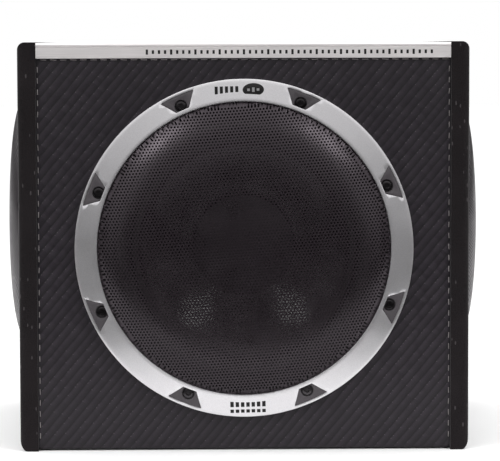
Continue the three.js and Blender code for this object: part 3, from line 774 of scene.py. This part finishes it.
def socket_bolt(shank):
    """Socket-head bolt standing on Z = 0: rounded head, hexagon socket and shank."""
    head = turned("bolt", [(0, -shank), (2.5, -shank), (2.5, 0), (5, 0), (5, 2.2), (4.6, 2.75), (3.9, 2.9),
                           (0, 2.9)], 32)
    carve(head, rod("socket", 2.5, 0.9, 4, sides=6))
    soften(head, 0.12, 1, 50)
    return head


def ring_bolts(side, place):
    """Eight bolts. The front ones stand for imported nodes, and the sides' have none."""
    seat = Matrix.Translation((0, 0, (FRAME_TOP + GAP) * MM))
    shank = 21 if side == "front" else 14
    bolts = copies(socket_bolt(shank), [turn @ seat for turn in around(radius=SCREW_CIRCLE_R)])
    for k, bolt in enumerate(bolts, 1):
        bolt.name = f"{side}_bolt_{k}"
        node = [f"ring_screw_{k}"] if side == "front" else []
        place_piece(bolt, BLACK_OXIDE, place=place, stands_for=node)


def dome_height(radius):
    """Height of a dome above its panel at a radius: a flat crown and a steep shoulder. In millimetres."""
    rim = FRAME_TOP + GAP + GRILLE_RIM
    return rim + (GRILLE_HEIGHT - rim) * (1 - (radius / GRILLE_R) ** 6)


def perforated_dome(side, place, tilt):
    """Domed steel sheet with staggered holes, left plain near its rim. tilt turns the rows of holes."""
    pitch, hole_r, steel, plain_from = 3.24, 1.08, 0.6, 141.3
    rows = int(GRILLE_R / (pitch * math.sqrt(3) / 2)) + 2
    corners = [(hole_r * math.cos(a), hole_r * math.sin(a))
               for a in (math.radians(30 + 60 * k) for k in range(6))]
    centres = {}
    for j in range(-rows, rows + 1):
        for i in range(-2 * rows, 2 * rows + 1):
            x, y = (i + j / 2) * pitch, j * pitch * math.sqrt(3) / 2
            if math.hypot(x, y) < GRILLE_R + 0.2 * pitch:
                centres[i, j] = (x, y)
    points, start = [], {}
    for cell, (x, y) in centres.items():
        start[cell] = len(points)
        points += [(x + dx, y + dy) for dx, dy in corners]
    faces = []
    for (i, j), first in start.items():
        x, y = centres[i, j]
        if math.hypot(x, y) > plain_from:
            faces.append([first + k for k in range(6)])
        right, upper, left = start.get((i + 1, j)), start.get((i, j + 1)), start.get((i - 1, j + 1))
        if right is not None:
            faces.append([first + 5, right + 3, right + 2, first])
        if upper is not None:
            faces.append([first, upper + 4, upper + 3, first + 1])
        if left is not None:
            faces.append([first + 1, left + 5, left + 4, first + 2])
        if right is not None and upper is not None:
            faces.append([first, right + 2, upper + 4])
        if upper is not None and left is not None:
            faces.append([first + 1, upper + 3, left + 5])
    sheet = from_outline(f"{side}_grille_dome", [(x * MM, y * MM, 0) for x, y in points], faces)

    faces_at = Counter(key for face in sheet.data.polygons for key in face.edge_keys)
    open_ends = {end for edge, count in faces_at.items() if count == 1 for end in edge}
    rim_starts = (GRILLE_R - 1.2 * pitch) * MM
    for vertex in sheet.data.vertices:
        if vertex.index in open_ends and vertex.co.length > rim_starts:
            vertex.co = vertex.co.normalized() * GRILLE_R * MM
    for vertex in sheet.data.vertices:
        vertex.co.z = dome_height(min(GRILLE_R, vertex.co.length / MM)) * MM
    apply_modifier(sheet, "SOLIDIFY", thickness=steel * MM, offset=-1, use_even_offset=False)
    sheet.data.transform(Matrix.Rotation(tilt, 4, "Z"))
    place_piece(sheet, GRILLE_PAINT, place=place, stands_for=[f"{side}_grille"], smooth=50)


def ring_badges():
    """Plain marks on the front ring: an oval beside five bars above, and two rows of bars below."""
    face = RING_TOP - 1.1
    oval_x, row_y, half_wide, half_tall = 12.5, 154.8, 10.4, 6.4
    oval = [(oval_x + half_wide * math.cos(a), row_y + half_tall * math.sin(a))
            for a in (k * math.pi / 24 for k in range(48))]
    plate = extruded("ring_oval", oval, face - 0.5, face + 0.45)
    soften(plate, 0.2)
    place_piece(plate, DARK_INK, place=FRONT)
    bars = [slab("bar", (x - 1.3, row_y - half, face + 0.35), (x + 1.3, row_y + half, face + 0.6))
            for x, half in ((oval_x - 4.6, 1.2), (oval_x, 2.2), (oval_x + 4.6, 1.2))]
    place_piece(joined("ring_oval_bars", bars), SILVER, place=FRONT)
    marks = [slab("mark", (x - 1.5, row_y - 3.8, face - 0.8), (x + 1.5, row_y + 3.8, face + 0.25))
             for x in (-23.5, -18.5, -13.5, -8.5, -3.5)]
    for k in range(7):
        x = (k - 3) * 5.2
        marks.append(slab("mark", (x - 1.7, -155.4, face - 0.8), (x + 1.7, -148.4, face + 0.45)))
        marks.append(slab("mark", (x - 1.7, -161.2, face - 0.9), (x + 1.7, -158.0, face + 0.0)))
    place_piece(joined("ring_marks", marks), DARK_INK, place=FRONT)


# ---- Driver and radiators ----


def surround(side, place, body):
    """Half-round rubber surround. It stays with the frame outside and with the moving edge inside."""
    low, sheet, centre, roll = LANDING + GAP, 0.9, 119, 9
    over = [(centre + roll * math.cos(a), low + sheet + roll * math.sin(a) * 0.92)
            for a in (math.pi * (1 - k / 16) for k in range(17))]
    under = [(centre + (roll - sheet) * math.cos(a), low + (roll - sheet) * math.sin(a))
             for a in (math.pi * k / 16 for k in range(17))]
    ring = turned(f"{side}_rubber_surround", [
        (104, low), (104, low + sheet), *over, (138, low + sheet), (138, low), *under])
    place_piece(ring, RUBBER, None, place, [f"{side}_surround"], smooth=50)
    flexing(ring, place, body, centre + roll, centre - roll)


def flexing(piece, place, body, fixed_r, moving_r):
    """The piece follows the cabinet beyond one radius and the moving body within the other."""
    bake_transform(piece, "cabinet", body, start=place @ Vector((fixed_r * MM, 0, 0)),
             end=place @ Vector((moving_r * MM, 0, 0)))
    own_axes = place.inverted()
    weights = piece.data.attributes["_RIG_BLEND"]
    for vertex in piece.data.vertices:
        local = own_axes @ vertex.co
        share = (fixed_r * MM - math.hypot(local.x, local.y)) / ((fixed_r - moving_r) * MM)
        share = min(1, max(0, share))
        weights.data[vertex.index].value = share * share * (3 - 2 * share)


def turned_piece(name, outline, finish, node, body="cabinet", place=FRONT, soft=0.4):
    piece = turned(name, outline)
    if soft:
        soften(piece, soft)
    return place_piece(piece, finish, body, place, [node])


def washer(inner_r, outer_r, bottom, top):
    """The outline of a plain ring."""
    return [(inner_r, bottom), (outer_r, bottom), (outer_r, top), (inner_r, top)]


def cone_outline(edge_r, neck_r, depth, sheet):
    """A flared cone: steeper towards its neck."""
    mouth_r, steps = 103, 12
    top = []
    for k in range(steps + 1):
        share = k / steps
        drop = depth * (0.72 * share + 0.28 * share * share)
        top.append((mouth_r + (neck_r - mouth_r) * share, LANDING - drop))
    bottom = [(r, z - sheet) for r, z in reversed(top)]
    return [(edge_r, LANDING), *top, *bottom, (edge_r, LANDING - sheet)]


def driver():
    """The driven unit behind the front grille."""
    turned_piece("cone_body", cone_outline(109.5, 33.3, 46, 1.3), CONE_GLOSS, "cone", "driver_cone", soft=0)
    cap_r, cap_rise, cap_edge, steps = 50, 14, -43.4, 12
    cap = [(cap_r * k / steps, cap_edge + cap_rise * (1 - (k / steps) ** 2)) for k in range(steps + 1)]
    cap_outline = [*cap, *[(r, z - 1) for r, z in reversed(cap)]]
    turned_piece("cone_dust_cap", cap_outline, CAP_SKIN, "dust_cap", "driver_cone", soft=0)
    turned_piece("coil_and_former", [
        (32, -106), (34, -106), (34, -86), (32.7, -86), (32.7, -57), (32, -57)], COPPER, "voice_coil",
        "driver_cone", soft=0.2)
    surround("front", FRONT, "driver_cone")

    waves, wave_height, inner_r, width, steps = 5, 1.7, 33.4, 50.6, 40
    top = []
    for k in range(steps + 1):
        fade = min(1, (steps - k) / 8)
        top.append((inner_r + width * k / steps,
                    -70.8 + wave_height * math.sin(2 * math.pi * waves * k / steps) * fade))
    spider = turned("corrugated_spider", [*top, *[(r, z - 0.8) for r, z in reversed(top)]])
    place_piece(spider, CLOTH, None, FRONT, ["spider"], smooth=60)
    flexing(spider, FRONT, "driver_cone", 78, 36)

    basket = turned("driver_frame", [
        (158, 1.8), (158, 4.3), (138.5, 4.3), (138.5, -10), (128, -10), (92, -72), (78, -72), (78, -74),
        (90.5, -74), (88, -88), (45, -88), (45, -90), (90, -90), (94, -74), (130, -12), (140.5, -12),
        (140.5, 1.8)])
    for k in range(4):
        window = slab("window", (60, -48, -64), (150, 48, -18))
        with editing_chosen(window, "EDGE", lambda edge: edge_runs_along_x(window, edge)):
            bpy.ops.mesh.bevel(offset=12 * MM, segments=5, affect="EDGES")
        window.data.transform(Matrix.Rotation((k + 0.5) * QUARTER, 4, "Z"))
        carve(basket, window)
    holes = copies(rod("hole", BOLT_HOLE_R, 0, 6, sides=20), around(radius=SCREW_CIRCLE_R))
    carve(basket, joined("holes", holes))
    soften(basket, 0.5)
    place_piece(basket, POWDER_COAT, place=FRONT, stands_for=["driver_basket"])

    turned_piece("flange_gasket", washer(143, 149, 0.3, 1.5), FOAM, "driver_gasket", soft=0.3)
    turned_piece("pole_top_plate", washer(35, 75, -98.3, -90.3), ZINC, "top_plate", soft=0.8)
    turned_piece("ferrite_ring", washer(42, 80, -120.6, -98.6), FERRITE, "ring_magnet", soft=1.5)
    turned_piece("pole_and_yoke", [
        (12, -128.9), (70, -128.9), (70, -120.9), (31, -120.9), (31, -90.3), (12, -90.3)],
        ZINC, "yoke", soft=1)
    refined("terminal_block", "driver_terminals", 0.8, BLACK_PLASTIC)


def radiator(side, place):
    """A passive radiator: frame, surround, diaphragm and its tuning weight."""
    body = SIDE_BODY[side]
    turned_piece(f"{side}_radiator_frame", [
        (158, 0.3), (158, 4.3), (138.5, 4.3), (138.5, -10), (128, -10), (128, -12), (140.5, -12),
        (140.5, 0.3)], POWDER_COAT, f"{side}_basket", place=place, soft=0.5)
    surround(side, place, body)
    turned_piece(f"{side}_radiator_cone", [
        (0, -28), (44, -28), (47, -27), (72, -19), (103, -10), (109.5, -10), (109.5, -11.6), (102.5, -11.6),
        (71.5, -20.6), (46.5, -28.8), (43.5, -29.6), (0, -29.6)],
        CONE_GLOSS, f"{side}_diaphragm", body, place, 0.3)
    turned_piece(f"{side}_tuning_weight", [(0, -39.9), (30, -39.9), (30, -29.9), (0, -29.9)], ZINC,
                 f"{side}_weight", body, place, 1.2)


def speaker_lead():
    """The driver's lead, from its terminals through the brace's window to the circuit board."""
    route = [(0, -86.4, 299.5), (0, -74, 299.5), (2, -40, 293), (6, 7, 282), (12, 60, 275), (18, 110, 271),
             (20, 145, 270), (20, 156.1, 270)]
    curve = bpy.data.curves.new("driver_lead", "CURVE")
    curve.dimensions = "3D"
    curve.bevel_depth = 2.4 * MM
    curve.bevel_resolution = 3
    curve.use_fill_caps = True
    spline = curve.splines.new("BEZIER")
    spline.bezier_points.add(len(route) - 1)
    for point, spot in zip(spline.bezier_points, route):
        point.co = Vector(spot) * MM
        point.handle_left_type = point.handle_right_type = "AUTO"
    lead = bpy.data.objects.new("driver_lead", curve)
    bpy.context.scene.collection.objects.link(lead)
    select_only(lead)
    bpy.ops.object.convert(target="MESH")
    place_piece(bpy.context.object, FOAM, stands_for=["speaker_lead"], smooth=60)


# ---- Boards ----


def board(node, name, *tools):
    """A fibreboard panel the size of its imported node, with each tool cut out of it."""
    panel = block(name, *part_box(node))
    for tool in tools:
        carve(panel, tool)
    soften(panel, 1.0, 2)
    place_piece(panel, FIBREBOARD, stands_for=[node])


def boards():
    board("front_baffle", "front_board", bore_at(FRONT), bolt_holes(FRONT, -30))
    board("back_panel", "back_board", amplifier_opening())
    board("top_panel", "top_board")
    board("bottom_panel", "bottom_board")
    brace_low, brace_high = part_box("window_brace")
    window = rod("window", 110, -60, 60, sides=TURN_STEPS)
    window.data.transform(Matrix.Translation((0, (brace_low[1] + brace_high[1]) / 2, AMP_CENTRE_Z))
                          @ Matrix.Rotation(QUARTER, 4, "X"))
    board("window_brace", "cross_brace", window)


# ---- Amplifier, in the axes of the back: X to the right, Y up, Z outwards, in millimetres ----

PLATE_FACE = 3.3
BOARD_INNER = -19.6
KNOB_X = {"gain_knob": -95, "crossover_knob": -55, "boost_knob": -15}
KNOB_Y = -42
SOCKET_Y = -82
FUSE_X = {"fuse_1": 80, "fuse_2": 100}


def back_piece(piece, finish, slot, *nodes, body="cabinet"):
    place_piece(piece, finish, body, BACK, nodes)


def control_knob(node, x):
    """Fluted knob with a dished top, and a white pointer let into it."""
    flutes, flute_depth, cap_r, cap_top = 24, 0.45, 7.5, 15.6
    rim = []
    for k in range(2 * flutes):
        radius = cap_r - flute_depth * (k % 2)
        angle = math.pi * k / flutes
        rim.append((radius * math.cos(angle), radius * math.sin(angle)))
    cap = extruded(node + "_cap", rim, PLATE_FACE + 0.6, cap_top)
    carve(cap, turned("dish", [
        (0, cap_top - 0.8), (4.8, cap_top - 0.4), (5.6, cap_top + 1), (0, cap_top + 1)], 32))
    soften(cap, 0.25, 2, 40)
    skirt = turned("skirt", [
        (0, -17.7), (3, -17.7), (3, PLATE_FACE + 0.7), (7.3, PLATE_FACE + 0.7), (7.4, 5.2), (7.0, 5.6),
        (0, 5.6)], 48)
    knob = joined(node + "_cap", [cap, skirt])
    spot = Matrix.Translation((x * MM, KNOB_Y * MM, 0))
    knob.data.transform(spot)
    back_piece(knob, KNOB_PLASTIC, "knob_plastic", node, body=node)
    pointer = slab(node + "_pointer", (-0.6, 1.5, cap_top - 1.2), (0.6, 6.7, cap_top + 0.12))
    soften(pointer, 0.12, 1)
    pointer.data.transform(spot)
    back_piece(pointer, WHITE_INK, "knob_plastic", body=node)


def control_marks():
    """Plain white scales around the knobs, end marks for the switch, and a frame around each group."""
    marks = []
    low, high = PLATE_FACE - 0.1, PLATE_FACE + 0.08
    dial_r, half_line, first_angle, step = 10.5, 0.35, -50, 28
    long_mark, short_mark, half_frame_line = 3.4, 2.2, 0.3
    switch_ends, half_end_mark = (23, 37), 0.4
    control_frame, input_frame, power_frame = (-117, 48, -61, -22), (-117, -12, -98, -66), (-9, 117, -98, -66)
    for x in KNOB_X.values():
        for k in range(11):
            angle = math.radians(first_angle + step * k)
            tall = long_mark if k in (0, 5, 10) else short_mark
            mark = slab("mark", (dial_r, -half_line, low), (dial_r + tall, half_line, high))
            mark.data.transform(Matrix.Translation((x * MM, KNOB_Y * MM, 0)) @ Matrix.Rotation(angle, 4, "Z"))
            marks.append(mark)
    for x in switch_ends:
        marks.append(slab("mark", (x - half_end_mark, KNOB_Y + 6, low),
                          (x + half_end_mark, KNOB_Y + 9, high)))
    for left, right, bottom, top in (control_frame, input_frame, power_frame):
        for a, b, c, d in ((left, right, bottom, bottom), (left, right, top, top),
                           (left, left, bottom, top), (right, right, bottom, top)):
            marks.append(slab("mark", (a - half_frame_line, c - half_frame_line, low),
                              (b + half_frame_line, d + half_frame_line, high)))
    back_piece(joined("control_scales", marks), WHITE_INK, "plate_black")


def line_sockets():
    """Two gold barrels, each around an insulating ring, on one moulded base."""
    x, half = -82, 8.5
    base = slab("socket_base", (x - 16.5, SOCKET_Y - 6.5, -17.7), (x + 16.5, SOCKET_Y + 6.5, 5))
    for centre in (x - half, x + half):
        carve(base, rod("bore", 5, 1.5, 30, centre, SOCKET_Y))
    soften(base, 0.5)
    back_piece(base, BLACK_PLASTIC, "black_plastic")
    barrel = turned("barrel", [(3.6, 2), (6.1, 2), (6.1, 3.2), (4.8, 3.6), (4.8, 13.6), (4.5, 14), (3.8, 14),
                               (3.6, 13.8)], 40)
    spots = [Matrix.Translation((centre * MM, SOCKET_Y * MM, 0)) for centre in (x - half, x + half)]
    back_piece(joined("socket_barrels", copies(barrel, spots)), GOLD, "socket_metal", "input_sockets")
    insulator = turned("insulator", [
        (1.9, 1.6), (3.5, 1.6), (3.5, 12.6), (3.2, 13.2), (2.2, 13.2), (1.9, 12.8)], 32)
    back_piece(joined("socket_insulators", copies(insulator, spots)), WHITE_INK, "black_plastic")


def remote_socket():
    refined("remote_socket", "remote_jack", 0.5, BLACK_PLASTIC)
    centre, half = -32, 0.5
    spots = [(centre + dx, SOCKET_Y + dy) for dx in (-3.6, -1.2, 1.2, 3.6) for dy in (-1.8, 1.8)]
    pins = [slab("pin", (x - half, y - half, -6.2), (x + half, y + half, 3)) for x, y in spots]
    back_piece(joined("remote_pins", pins), GOLD, "socket_metal")


def power_block():
    """Terminal block: four wire entries, clamps inside them, and their screws on top."""
    refined("power_terminals", "power_block", 0.6, BLACK_PLASTIC)
    centre, pitch, half_wide, half_tall = 25, 15, 3.9, 5.4
    clamps, screws = [], []
    for step in (-1.5, -0.5, 0.5, 1.5):
        x = centre + step * pitch
        clamps.append(slab("clamp", (x - half_wide, SOCKET_Y - half_tall, 2.1),
                           (x + half_wide, SOCKET_Y + half_tall, 5)))
        screw = turned("screw", [(0, -1), (2.9, -1), (2.9, 0.7), (2.5, 1.1), (0, 1.1)], 24)
        carve(screw, slab("slot", (-4, -0.45, 0.4), (4, 0.45, 2)))
        screw.data.transform(Matrix.Translation((x * MM, (SOCKET_Y + 8.5) * MM, 9.5 * MM))
                             @ Matrix.Rotation(-QUARTER, 4, "X"))
        screws.append(screw)
    back_piece(joined("terminal_clamps", clamps), GOLD, "socket_metal")
    back_piece(joined("terminal_screws", screws), ZINC, "motor_steel")


def plug_fuse(node, x):
    """Plug-in fuse: a moulded grip with a stepped top, and two blades."""
    half_wide, half_tall, top, step_deep, step_tall = 2.3, 9.5, 13, 2, 3
    grip = slab(node + "_grip", (x - half_wide, SOCKET_Y - half_tall, PLATE_FACE + GAP),
                (x + half_wide, SOCKET_Y + half_tall, top))
    for end in (-half_tall, half_tall - step_tall):
        carve(grip, slab("step", (x - 5, SOCKET_Y + end, top - step_deep),
                         (x + 5, SOCKET_Y + end + step_tall, 20)))
    soften(grip, 0.45)
    back_piece(grip, FUSE_BODY, "fuse_blue", node, body=node)
    blades = [slab("blade", (x - 0.4, SOCKET_Y + y - 2.6, -14), (x + 0.4, SOCKET_Y + y + 2.6, 4.2))
              for y in (-5.2, 5.2)]
    back_piece(joined(node + "_blades", blades), ZINC, "motor_steel", body=node)


def plate_screws():
    """Pan-head screws with a cross recess, around the plate's edge."""
    screw = turned("screw", [(0, -8), (1.6, -8), (1.6, PLATE_FACE), (3.4, PLATE_FACE), (3.4, 3.9), (2.9, 4.9),
                             (1.8, 5.3), (0, 5.4)], 24)
    for turn in (0, QUARTER):
        slot = slab("slot", (-1.9, -0.4, 4.2), (1.9, 0.4, 7))
        slot.data.transform(Matrix.Rotation(turn, 4, "Z"))
        carve(screw, slot)
    edge_x, edge_y, inner_x = 120.5, 105.5, 45
    spots = [(x, y) for x in (-edge_x, edge_x) for y in (-edge_y, 0, edge_y)] + [
        (x, y) for x in (-inner_x, inner_x) for y in (-edge_y, edge_y)]
    places = [Matrix.Translation((x * MM, y * MM, 0)) for x, y in spots]
    back_piece(joined("plate_screws", copies(screw, places)), BLACK_OXIDE, "screw_black")


def power_light():
    bezel = turned("light_bezel", [(2.4, 0.5), (4.2, PLATE_FACE), (4.2, 3.9), (3.7, 4.3), (2.4, 4.1)], 32)
    lens = turned("power_light", [(0, 0.6), (2.3, 0.6), (2.3, 4.2), (1.9, 4.9), (1.1, 5.3), (0, 5.5)], 32)
    spot = Matrix.Translation((62 * MM, KNOB_Y * MM, 0))
    bezel.data.transform(spot)
    lens.data.transform(spot)
    back_piece(bezel, BLACK_PLASTIC, "black_plastic")
    back_piece(lens, LENS_RED, "fuse_blue")


def circuit():
    """The circuit board with its transformer, capacitors and small parts, inside the box."""
    refined("circuit_board", "circuit_card", 0.15, GREEN_BOARD, segments=1)
    top = BOARD_INNER - GAP
    core = turned("wound_transformer", [
        (12, top), (12, top - 34), (38, top - 34), (38, top)], 64)
    soften(core, 5, 5)
    core.data.transform(Matrix.Translation((-55 * MM, 40 * MM, 0)))
    back_piece(core, COPPER, "copper_wire", "transformer")
    for k, x in enumerate((30, 62), 1):
        can = turned(f"storage_capacitor_{k}", [
            (0, top), (12.5, top), (12.5, top - 5), (11.6, top - 6), (11.6, top - 7), (12.5, top - 8),
            (12.5, top - 44.2), (11.7, top - 45), (10.4, top - 45), (10.2, top - 44.5), (0, top - 44.5)], 48)
        can.data.transform(Matrix.Translation((x * MM, 50 * MM, 0)))
        back_piece(can, BLACK_PLASTIC, "black_plastic", f"capacitor_{k}")
    rng = random.Random(21)
    chips = []
    for k in range(26):
        x, y = -98 + (k % 9) * 24.5, -86 + (k // 9) * 26
        wide, tall, high = rng.choice(((9, 6, 2.5), (5, 10, 4), (14, 7, 3), (4, 4, 8)))
        chips.append(slab("chip", (x - wide / 2, y - tall / 2, BOARD_INNER - high),
                          (x + wide / 2, y + tall / 2, BOARD_INNER + 0.05)))
    chip_set = joined("board_parts", chips)
    soften(chip_set, 0.4, 1)
    back_piece(chip_set, BLACK_PLASTIC, "black_plastic")


def amplifier():
    refined("amp_plate", "amplifier_plate", 0.4, ANODISED)
    for node, x in KNOB_X.items():
        control_knob(node, x)
    refined("phase_switch", "phase_lever", 0.4, BLACK_PLASTIC, "phase_switch")
    for node, x in FUSE_X.items():
        plug_fuse(node, x)
    control_marks()
    line_sockets()
    remote_socket()
    power_block()
    plate_screws()
    power_light()
    circuit()


# ---- Assembly ----

side_board("left")
side_board("right")
boards()
vinyl_sleeve()
edge_stitching()
top_trim()
for side, place in OPENINGS.items():
    trim_ring(side, place)
    grille_frame(side, place)
    ring_bolts(side, place)
    perforated_dome(side, place, math.radians(3))
ring_badges()
driver()
radiator("left", LEFT)
radiator("right", RIGHT)
speaker_lead()
amplifier()

# ---- Floor and light ----


def studio_floor():
    """A pale floor, short in front of the box and long behind it."""
    half, front_end, back_end = 8, -0.5, 14
    floor = from_outline("studio_floor", [(-half, front_end, 0), (half, front_end, 0), (half, back_end, 0),
                                          (-half, back_end, 0)], [(0, 1, 2, 3)])
    paper = Finish("studio_paper", (0.9, 0.9, 0.9), 0.85, Specular_IOR_Level=0.1)
    clouds = paper.spread(paper.noise(3, 2), 0, 1)
    paper.colour(paper.mix(clouds, (0.885, 0.885, 0.885), (0.915, 0.915, 0.915)))
    floor.data.materials.append(paper.material)


def area_light(name, spot, target, size, power):
    light = bpy.data.lights.new(name, "AREA")
    light.shape = "RECTANGLE"
    light.size, light.size_y = size
    light.energy = power
    lamp = bpy.data.objects.new(name, light)
    bpy.context.scene.collection.objects.link(lamp)
    towards = (Vector(target) - Vector(spot)).to_track_quat("-Z", "Y")
    lamp.matrix_world = Matrix.Translation(spot) @ towards.to_matrix().to_4x4()


def world_light():
    """Brightest overhead, dim at the horizon, and white where the camera looks past the floor."""
    world = bpy.data.worlds.new("studio_air")
    bpy.context.scene.world = world
    world.use_nodes = True
    nodes, links = world.node_tree.nodes, world.node_tree.links
    direction = nodes.new("ShaderNodeSeparateXYZ")
    links.new(nodes.new("ShaderNodeTexCoord").outputs["Generated"], direction.inputs[0])
    ramp = nodes.new("ShaderNodeValToRGB")
    stops = ((0.0, 0.04), (0.17, 0.88), (0.5, 1.0), (0.85, 1.5))
    ramp.color_ramp.elements.remove(ramp.color_ramp.elements[1])
    for k, (rise, bright) in enumerate(stops):
        stop = ramp.color_ramp.elements.new(rise) if k else ramp.color_ramp.elements[0]
        stop.color = (bright, bright, bright, 1)
    links.new(direction.outputs[2], ramp.inputs[0])
    seen = nodes.new("ShaderNodeMix")
    seen.data_type = "RGBA"
    links.new(nodes.new("ShaderNodeLightPath").outputs["Is Camera Ray"], seen.inputs[0])
    links.new(ramp.outputs[0], seen.inputs[6])
    seen.inputs[7].default_value = (1, 1, 1, 1)
    links.new(seen.outputs[2], nodes["Background"].inputs[0])
    nodes["Background"].inputs[1].default_value = 1.0


studio_floor()
world_light()
area_light("overhead", (0, 0.1, 2.6), (0, 0.1, 0), (3.2, 2.0), 14)
hands = {"left": -1, "right": 1}
for hand, way in hands.items():
    area_light(f"{hand}_spot", (way, -1.17, 1.38), (0, -0.17, 0.2), (0.55, 0.55), 8)
for hand, way in hands.items():
    area_light(f"{hand}_panel", (1.7 * way, -1.5, 0.45), (0, -0.17, 0.22), (0.9, 1.1), 2)
